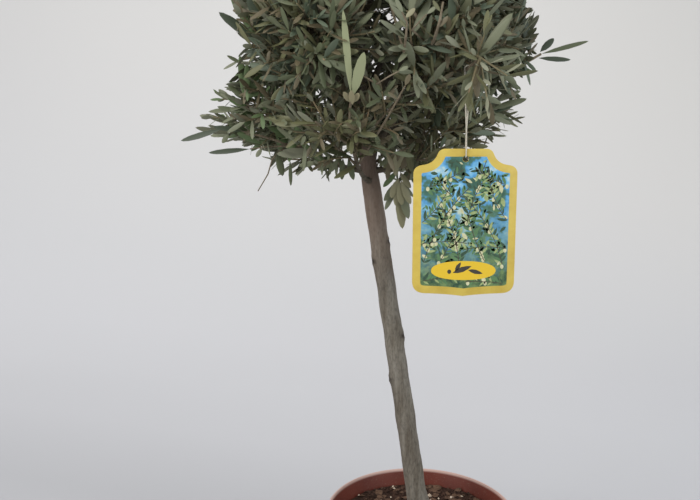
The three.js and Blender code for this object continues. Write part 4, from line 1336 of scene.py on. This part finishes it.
# %% Join the leaves and set their bodies
GROUPS = {
    "skirt": ["skirt_front", "skirt_right", "skirt_back", "skirt_left"],
    "middle_front": ["middle_front_right", "middle_front_left", "middle_right"],
    "middle_back": ["middle_back_right", "middle_back_left", "middle_left"],
    "upper_front": ["upper_front", "upper_right", "upper_left"],
    "upper_back": ["upper_back_right", "upper_back_left"],
    "top": ["top_leader"],
}
for name, names in GROUPS.items():
    piece = leaves_of(name, names)
    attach(piece, "plant")
    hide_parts(*["foliage_" + mass for mass in names])
    print(piece.name, triangles(piece), "triangles")

# %% [markdown]
# ## Twigs as joined tubes
# Hundreds of twigs as separate curves would be slow to convert, so rings of five or six points
# are written along each line. Older twigs are grey-brown and woody, the youngest olive green.


# %% Twig tubes
def tube_rings(line, root_radius, tip_radius, sides):
    """Places and faces of one closed tapering tube."""
    places, faces = [], []
    last = len(line) - 1
    for i, here in enumerate(line):
        along = (line[min(last, i + 1)] - line[max(0, i - 1)]).normalized()
        side = sideways(along, 0)
        up = along.cross(side)
        radius = root_radius + (tip_radius - root_radius) * i / last
        for k in range(sides):
            turn = 2 * math.pi * k / sides
            places.append(here + (side * math.cos(turn) + up * math.sin(turn)) * radius)
    for i in range(last):
        for k in range(sides):
            after = (k + 1) % sides
            faces.append((i * sides + k, i * sides + after, (i + 1) * sides + after, (i + 1) * sides + k))
    faces.append(tuple(range(sides - 1, -1, -1)))
    faces.append(tuple(last * sides + k for k in range(sides)))
    return places, faces


def twigs_piece(kind, tier):
    """One joined piece of every twig of a kind in a tier."""
    sides = {"grey": 6, "green": 5}[kind]
    places, faces = [], []
    for twig in twigs:
        if twig["kind"] != kind or twig["mass"]["tier"] != tier:
            continue
        tube, corners = tube_rings(twig["line"], *twig["radii"], sides)
        faces += [tuple(len(places) + corner for corner in face) for face in corners]
        places += tube
    piece = mesh_piece("twigs_" + kind + "_" + tier, np.array(places) * MM, faces)
    smooth(piece, 60)
    return piece


TWIG_STOPS = [(0.3, (0.11, 0.085, 0.055)), (0.55, (0.19, 0.155, 0.105)), (0.8, (0.27, 0.235, 0.175))]
SHOOT_STOPS = [(0.3, (0.16, 0.13, 0.07)), (0.5, (0.21, 0.18, 0.1)), (0.75, (0.25, 0.17, 0.1))]
woody = mottled_finish("twig_grey_bark", TWIG_STOPS, 210, 0.85, 0.5, 0.0006, specular=0.25)
fresh = mottled_finish("twig_young_bark", SHOOT_STOPS, 90, 0.7, 0.3, 0.0004, specular=0.3)
for tier in ("skirt", "middle", "upper", "top"):
    for kind, finish in (("grey", woody), ("green", fresh)):
        piece = twigs_piece(kind, tier)
        piece.data.materials.append(finish)
        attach(piece, "plant")
        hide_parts(*["foliage_" + mass["name"] for mass in MASSES if mass["tier"] == tier])
        print(piece.name, triangles(piece), "triangles")

# %% [markdown]
# ## The plant label
# A die-cut card with a yellow border round a printed picture, hung on a loop of string. The card
# is a flat curve with a hole, given thickness. The print is generic: sky and cloud tones, arching
# sprays of leaves with round buds, and a yellow oval with a leaf motif. Its parts are thin layers
# up to 0.13 mm proud of the card, the same on both faces.


# %% Label outline
CARD_HALF, BORDER = 0.4, 6.6
HOLE_Z, HOLE_RADIUS = -8.5, 2.5
PICTURE_DEPTHS, OVAL_DEPTHS = (0.38, 0.43), (0.42, 0.5)
INK_DEPTH, INK_STEP, INK_THICKNESS, MOTIF_DEPTH = 0.455, 0.006, 0.04, 0.53


def quadratic(start, control, end, steps):
    """The points of a quadratic curve after its start."""
    return [
        tuple((1 - t) ** 2 * a + 2 * t * (1 - t) * b + t * t * c for a, b, c in zip(start, control, end))
        for t in (i / steps for i in range(1, steps + 1))
    ]


def half_outline():
    """The card's right half from its top edge down, with the origin at its top middle."""
    line, side = [(17.5, 0)], LABEL_WIDTH / 2
    for control, end, steps in (
        ((22, -0.5), (23.5, -4.5), 10), ((26.5, -12.5), (36, -13.5), 10), ((side, -14.5), (side, -21), 10),
        ((side, -66), (side, -112), 2), ((side, -122), (33, -122.5), 10),
        ((14, -123), (0, -LABEL_HEIGHT), 10),
    ):
        line += quadratic(line[-1], control, end, steps)
    return line


def whole_outline():
    right = half_outline()
    return right + [(-x, z) for x, z in reversed(right[:-1])]


def inset_outline(line, distance):
    """The outline moved inwards everywhere by a distance."""
    moved = []
    for before, here, after in zip(line[-1:] + line[:-1], line, line[1:] + line[:1]):
        run = Vector((after[0] - before[0], after[1] - before[1])).normalized()
        moved.append((here[0] + run.y * distance, here[1] - run.x * distance))
    return moved


OUTLINE = whole_outline()
PICTURE = [(x + 0.3, z) for x, z in inset_outline(OUTLINE, BORDER)]
print("label outline has", len(OUTLINE), "points")


# %% Flat pieces of the label
def flat_piece(name, loops, lowest, highest):
    """A flat plate between two depths in front of the card's middle plane, from a 2D curve."""
    curve = curve_of(name, [[(x * MM, z * MM, 0) for x, z in loop] for loop in loops], closed=True)
    curve.dimensions = "2D"
    curve.fill_mode = "BOTH"
    curve.extrude = (highest - lowest) / 2 * MM
    plate = piece_of_curve(name, curve)
    depth = HANG_POINT.y - (lowest + highest) / 2
    place = Matrix.Translation(Vector((HANG_POINT.x, depth, LABEL_TOP)) * MM)
    plate.data.transform(place @ Matrix.Rotation(math.pi / 2, 4, "X"))
    bpy.ops.object.mode_set(mode="EDIT")
    close_shape()
    return plate


def both_faces(plate):
    """Adds the same print to the card's back, turned round so that it reads the same way."""
    back = plate.data.copy()
    middle = Matrix.Translation(Vector((HANG_POINT.x, HANG_POINT.y, 0)) * MM)
    back.transform(middle @ Matrix.Rotation(math.pi, 4, "Z") @ middle.inverted())
    other = bpy.data.objects.new(plate.name + "_back", back)
    bpy.context.scene.collection.objects.link(other)
    return join_pieces([plate, other])


def ellipse(x, z, half_width, half_height, count, square=2.0):
    """A closed loop; square above 2 makes it fuller at its corners."""
    loop = []
    for i in range(count):
        turn = -2 * math.pi * i / count
        c, s = math.cos(turn), math.sin(turn)
        loop.append((x + half_width * math.copysign(abs(c) ** (2 / square), c),
                     z + half_height * math.copysign(abs(s) ** (2 / square), s)))
    return loop


hole = ellipse(0, HOLE_Z, HOLE_RADIUS, HOLE_RADIUS, 28)
card = flat_piece("label_card", [OUTLINE, hole], -CARD_HALF, CARD_HALF)
apply_modifier(card, "BEVEL", width=0.12 * MM, segments=2, limit_method="ANGLE", angle_limit=math.radians(60))
smooth(card, 30)
picture_hole = ellipse(0, HOLE_Z, HOLE_RADIUS + 0.2, HOLE_RADIUS + 0.2, 28)
picture = both_faces(flat_piece("label_picture", [PICTURE, picture_hole], *PICTURE_DEPTHS))
oval_outline = ellipse(0, -102.8, 27.5, 8.2, 48, square=2.2)
oval = both_faces(flat_piece("label_plate", [oval_outline], *OVAL_DEPTHS))
print("label card triangles", triangles(card))


# %% Printed shapes
LENS = ((0, 0), (0.22, 0.7), (0.5, 1), (0.8, 0.6), (1, 0), (0.8, -0.6), (0.5, -1), (0.22, -0.7))


def inside_loop(x, z, loop):
    """True where a line from the place crosses the loop an odd number of times."""
    crossings = 0
    for (x1, z1), (x2, z2) in zip(loop, loop[1:] + loop[:1]):
        if (z1 > z) != (z2 > z) and x < x1 + (z - z1) * (x2 - x1) / (z2 - z1):
            crossings += 1
    return crossings % 2 == 1


def leaf_loop(x, z, turn, length, width):
    """A lens-shaped printed leaf from its foot, as a loop of eight points."""
    c, s = math.cos(turn), math.sin(turn)
    sides = [(along * length, across * width / 2) for along, across in LENS]
    return [(x + a * c - b * s, z + a * s + b * c) for a, b in sides]


def print_layer(name, loops, depth):
    """Flat printed shapes as one thin mesh on both faces of the card."""
    places, faces = [], []
    for facing in (1, -1):
        for loop in loops:
            base, count = len(places), len(loop)
            for lift in (depth, depth - INK_THICKNESS):
                for x, z in loop:
                    places.append((HANG_POINT.x + facing * x, HANG_POINT.y - facing * lift, LABEL_TOP + z))
            faces.append(tuple(base + i for i in range(count)))
            faces.append(tuple(base + count + i for i in reversed(range(count))))
            for i in range(count):
                after = (i + 1) % count
                faces.append((base + i, base + count + i, base + count + after, base + after))
    piece = mesh_piece(name, np.array(places) * MM, faces)
    make_active(piece)
    bpy.ops.object.mode_set(mode="EDIT")
    close_shape()
    return piece


# %% Sprays printed on the picture
LABEL_SPRAYS = (  # foot x, foot z, heading in degrees, length, bend in degrees
    (-34, -96, 74, 74, -30), (33, -98, 104, 70, 34), (-4, -96, 96, 52, 26), (-36, -62, 40, 44, 30),
    (36, -60, 128, 46, -34), (2, -64, 82, 40, -24), (-30, -32, 20, 34, 16), (34, -30, 158, 30, -14),
    (-20, -95, 60, 40, 10), (18, -95, 118, 42, -16), (-36, -80, 10, 40, -20), (36, -84, 170, 38, 24),
    (-34, -112, 12, 30, -14), (34, -114, 172, 34, 12), (-10, -40, 140, 24, -30), (12, -22, 60, 16, 20),
)
LOOSE_LEAVES, SPRAY_STEP = 170, 3.2
deal = np.random.default_rng(11)
shades = {"dark": [], "mid": [], "light": [], "buds": [], "stalks": []}
for foot_x, foot_z, way, length, bend in LABEL_SPRAYS:
    steps = int(length / SPRAY_STEP)
    x, z = foot_x, foot_z
    for i in range(steps):
        turn = math.radians(way + bend * i / steps)
        shades["stalks"].append(leaf_loop(x, z, turn, 4.4, 0.8))
        for side in (-1, 1):
            shade = ("dark", "dark", "mid", "mid", "light")[int(deal.integers(5))]
            size = 5 + 4.5 * deal.random()
            opening = math.radians(36 + 26 * deal.random())
            shades[shade].append(leaf_loop(x, z, turn + side * opening, size, size * 0.3))
        if deal.random() < 0.22:
            shades["buds"].append(ellipse(x + 3 * (deal.random() - 0.5), z - 1.5, 1.5, 1.9, 10))
        x, z = x + SPRAY_STEP * math.cos(turn), z + SPRAY_STEP * math.sin(turn)
for i in range(LOOSE_LEAVES):
    x, z, turn = 74 * (deal.random() - 0.5), -112 + 104 * deal.random(), 2 * math.pi * deal.random()
    shade = ("dark", "dark", "mid", "light", "buds")[int(deal.integers(5))]
    size = 3.5 + 5 * deal.random()
    shades[shade].append(leaf_loop(x, z, turn, size, size * (0.3 + 0.2 * deal.random())))
room = inset_outline(PICTURE, 0.5)
layers = {}
for i, (shade, loops) in enumerate(shades.items()):
    kept = [
        loop for loop in loops
        if all(inside_loop(x, z, room) and math.hypot(x, z - HOLE_Z) > 4.4 for x, z in loop)
    ]
    layers[shade] = print_layer("label_print_" + shade, kept, INK_DEPTH + INK_STEP * i)
motif = [leaf_loop(-9, -104.8, math.radians(20), 17, 4.6), leaf_loop(-7, -103.3, math.radians(58), 9, 3.4),
         leaf_loop(4, -102.3, math.radians(-14), 13, 3.8), ellipse(-12, -103.8, 1.7, 1.9, 12)]
layers["motif"] = print_layer("label_print_motif", motif, MOTIF_DEPTH)
print("printed shapes", {shade: len(loops) for shade, loops in shades.items()})

# %% [markdown]
# Printed card has a soft gloss. The picture's sky is a noise between two blues and cloud white,
# running into green shade towards its foot, and every ink keeps a faint unevenness.

# %% Label finishes
yellow_stops = [(0.3, (0.48, 0.34, 0.05)), (0.7, (0.58, 0.44, 0.08))]
yellow = mottled_finish("label_yellow", yellow_stops, 60, 0.35, 0.05, 0.0002)
gold = plain_finish("label_gold", (0.66, 0.44, 0.02), 0.35)
sky = plain_finish("label_sky", (0.15, 0.4, 0.7), 0.35)
clouds = ramp(sky, grain(sky, 62, detail=3), [
    (0.34, (0.03, 0.09, 0.06)), (0.43, (0.05, 0.15, 0.12)), (0.48, (0.07, 0.27, 0.52)),
    (0.57, (0.16, 0.42, 0.62)), (0.66, (0.5, 0.6, 0.55)), (0.74, (0.6, 0.6, 0.35)),
])
shade_tones = ramp(sky, grain(sky, 150, detail=3), [(0.35, (0.02, 0.06, 0.03)), (0.6, (0.14, 0.22, 0.08))])
paint(sky, mixed(sky, by_height(sky, 0.425, 0.5), shade_tones, clouds))
INKS = {
    "dark": ((0.02, 0.05, 0.03), (0.04, 0.09, 0.045)), "mid": ((0.06, 0.14, 0.06), (0.1, 0.2, 0.08)),
    "light": ((0.19, 0.27, 0.1), (0.35, 0.4, 0.18)), "buds": ((0.42, 0.42, 0.23), (0.6, 0.58, 0.37)),
    "stalks": ((0.05, 0.045, 0.025), (0.08, 0.07, 0.04)), "motif": ((0.03, 0.025, 0.02), (0.05, 0.045, 0.03)),
}
for shade, piece in layers.items():
    ink_stops = list(zip((0.3, 0.7), INKS[shade]))
    finish_with(piece, mottled_finish("label_ink_" + shade, ink_stops, 240, 0.35, 0.03, 0.0002))
for piece, finish in ((card, yellow), (picture, sky), (oval, gold)):
    finish_with(piece, finish)
for piece in (card, picture, oval, *layers.values()):
    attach(piece, "hanging_label")
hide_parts("label")
print("label finishes", [finish.name for finish in (yellow, sky, gold)], "and", len(INKS), "inks")

# %% [markdown]
# ## The string
# A thin loop of pale cotton goes over the twig, down both sides with a quarter turn and through
# the hole. A closed curve with a bevel follows the CAD's own path, smoothed between its points.


# %% String loop
STRING_RADIUS, PLATE_ROOM = 0.6, 0.5


def string_line():
    """Over the twig, down both sides with a quarter turn, and through the hole."""
    over_twig = HANG_TWIG_RADIUS + GAP + STRING_RADIUS
    round_plate = CARD_HALF + STRING_RADIUS + PLATE_ROOM
    foot = Vector((HANG_POINT.x, HANG_POINT.y, LABEL_TOP + HOLE_Z + HOLE_RADIUS + STRING_RADIUS))
    drop = HANG_POINT.z - foot.z
    half_turn = [math.radians(turn) for turn in range(0, 181, 30)]
    top = [HANG_POINT + Vector((math.cos(turn), 0, math.sin(turn))) * over_twig for turn in half_turn]
    bottom = [foot - Vector((0, math.cos(turn), math.sin(turn))) * round_plate for turn in half_turn]
    strands = []
    for way in (1, -1):
        strand = []
        for share in (0.12, 0.3, 0.5, 0.7, 0.85):
            turn = math.radians(90 * min(1, share / 0.8))
            wide = (over_twig + (round_plate - over_twig) * share) * way
            strand.append(HANG_POINT - Vector((math.cos(turn) * wide, math.sin(turn) * wide, drop * share)))
        strands.append(strand)
    return top + strands[0] + bottom + strands[1][::-1]


def rounded(line, steps):
    """A closed Catmull-Rom line through the places."""
    count, smoothed = len(line), []
    for i in range(count):
        a, b, c, d = (line[(i + k) % count] for k in (-1, 0, 1, 2))
        for step in range(steps):
            t = step / steps
            smoothed.append(0.5 * (b * 2 + (c - a) * t + (a * 2 - b * 5 + c * 4 - d) * t * t
                                   + (b * 3 - a - c * 3 + d) * t ** 3))
    return smoothed


string_curve = curve_of("label_loop", [[place * MM for place in rounded(string_line(), 4)]], closed=True)
string_curve.bevel_depth = STRING_RADIUS * MM
string_curve.bevel_resolution = 3
string = piece_of_curve("label_loop", string_curve)
smooth(string, 60)
string_stops = [(0.35, (0.42, 0.38, 0.3)), (0.65, (0.6, 0.56, 0.46))]
finish_with(string, mottled_finish("pale_string", string_stops, 900, 0.9, 0.6, 0.0006, specular=0.2))
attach(string, "hanging_label")
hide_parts("label_string")
print("string triangles", triangles(string))

# %% [markdown]
# ## Floor and light
# A pale floor sweeps up far behind the tree, so that no edge shows from the front. Light is soft,
# from the front and a little more from the left, with the sky's even light filling the shade.

# %% Floor
FLOOR_WIDTH, FLOOR_FRONT, FLOOR_BACK = 14, -5, 0.9
SWEEP_RADIUS, SWEEP_STEPS, BACKDROP_RISE = 2.5, 32, 2.5
deselect_all()
bpy.ops.mesh.primitive_plane_add(size=1, location=(0, 0, 0))
floor = bpy.context.object
floor.name = "floor"
floor_middle = Matrix.Translation((0, (FLOOR_FRONT + FLOOR_BACK) / 2, 0))
floor.data.transform(floor_middle @ Matrix.Diagonal((FLOOR_WIDTH, FLOOR_BACK - FLOOR_FRONT, 1, 1)))
edit_edges(floor, lambda place: place.y > 0)
for i in range(SWEEP_STEPS):
    first, second = (math.pi / 2 * k / SWEEP_STEPS for k in (i, i + 1))
    run = SWEEP_RADIUS * (math.sin(second) - math.sin(first))
    climb = SWEEP_RADIUS * (math.cos(first) - math.cos(second))
    bpy.ops.mesh.extrude_region_move(TRANSFORM_OT_translate={"value": (0, run, climb)})
bpy.ops.mesh.extrude_region_move(TRANSFORM_OT_translate={"value": (0, 0, BACKDROP_RISE)})
bpy.ops.object.mode_set(mode="OBJECT")
smooth(floor, 30)
print("floor triangles", triangles(floor))

# %% [markdown]
# The floor's grey is painted lighter with distance, and to the right, along one slanting line:
# painted shading in place of the fall of light. Light alone could do this, but a ramp along the
# slant is easier to set, and stays put from any side.

# %% Floor finish
SLANT, PALEST = (0.35, 1, 0), 3.3
floor_finish = plain_finish("pale_floor", (0.55, 0.55, 0.54), 0.9, 0.1)
raise_bump(floor_finish, grain(floor_finish, 3), 0.02, 0.001)
floor_place = add_node(floor_finish, "ShaderNodeTexCoord")
slanting = add_node(floor_finish, "ShaderNodeVectorMath")
slanting.operation = "DOT_PRODUCT"
slanting.inputs[1].default_value = SLANT
link(floor_finish, floor_place.outputs["Object"], slanting.inputs[0])
far = add_node(floor_finish, "ShaderNodeMapRange", From_Max=PALEST)
link(floor_finish, slanting.outputs["Value"], far.inputs["Value"])
# Painted shading: darker near the front and to the left, lighter far back and to the right.
floor_stops = [
    (0.06, (0.4, 0.402, 0.414)), (0.14, (0.465, 0.467, 0.48)), (0.23, (0.5, 0.502, 0.514)),
    (0.32, (0.514, 0.515, 0.526)), (0.46, (0.52, 0.521, 0.525)), (0.76, (0.557, 0.551, 0.538)),
    (1, (0.573, 0.566, 0.545)),
]
paint(floor_finish, ramp(floor_finish, far.outputs["Result"], floor_stops))
floor.data.materials.append(floor_finish)
print("floor has", len(floor_stops), "shades of grey")

# %% Lights
LIGHTS = (  # name, place, what it is aimed at, size in metres, watts, colour
    ("key", (-2.4, -1.7, 1.9), (0, 0, 0.55), 1.7, 63, (1, 0.985, 0.955)),
    ("fill", (1.6, -1.3, 1.1), (0.25, 0.05, 0.35), 1.5, 17, (0.9, 0.97, 1)),
    ("wall_light", (-0.2, 1.1, 3.3), (-0.5, 3.4, 1.2), 2.4, 29, (1, 0.99, 0.975)),
)
for name, place, target, size, power, colour in LIGHTS:
    lamp = bpy.data.lights.new(name, "AREA")
    lamp.size = size
    lamp.energy = power
    lamp.color = colour
    light = bpy.data.objects.new(name, lamp)
    light.location = place
    light.rotation_euler = (Vector(target) - Vector(place)).to_track_quat("-Z", "Y").to_euler()
    bpy.context.scene.collection.objects.link(light)
world = bpy.data.worlds.new("world")
world.use_nodes = True
world.node_tree.nodes["Background"].inputs["Color"].default_value = (0.96, 0.965, 1, 1)
world.node_tree.nodes["Background"].inputs["Strength"].default_value = 0.91
bpy.context.scene.world = world
bpy.context.scene.view_settings.view_transform = "Standard"
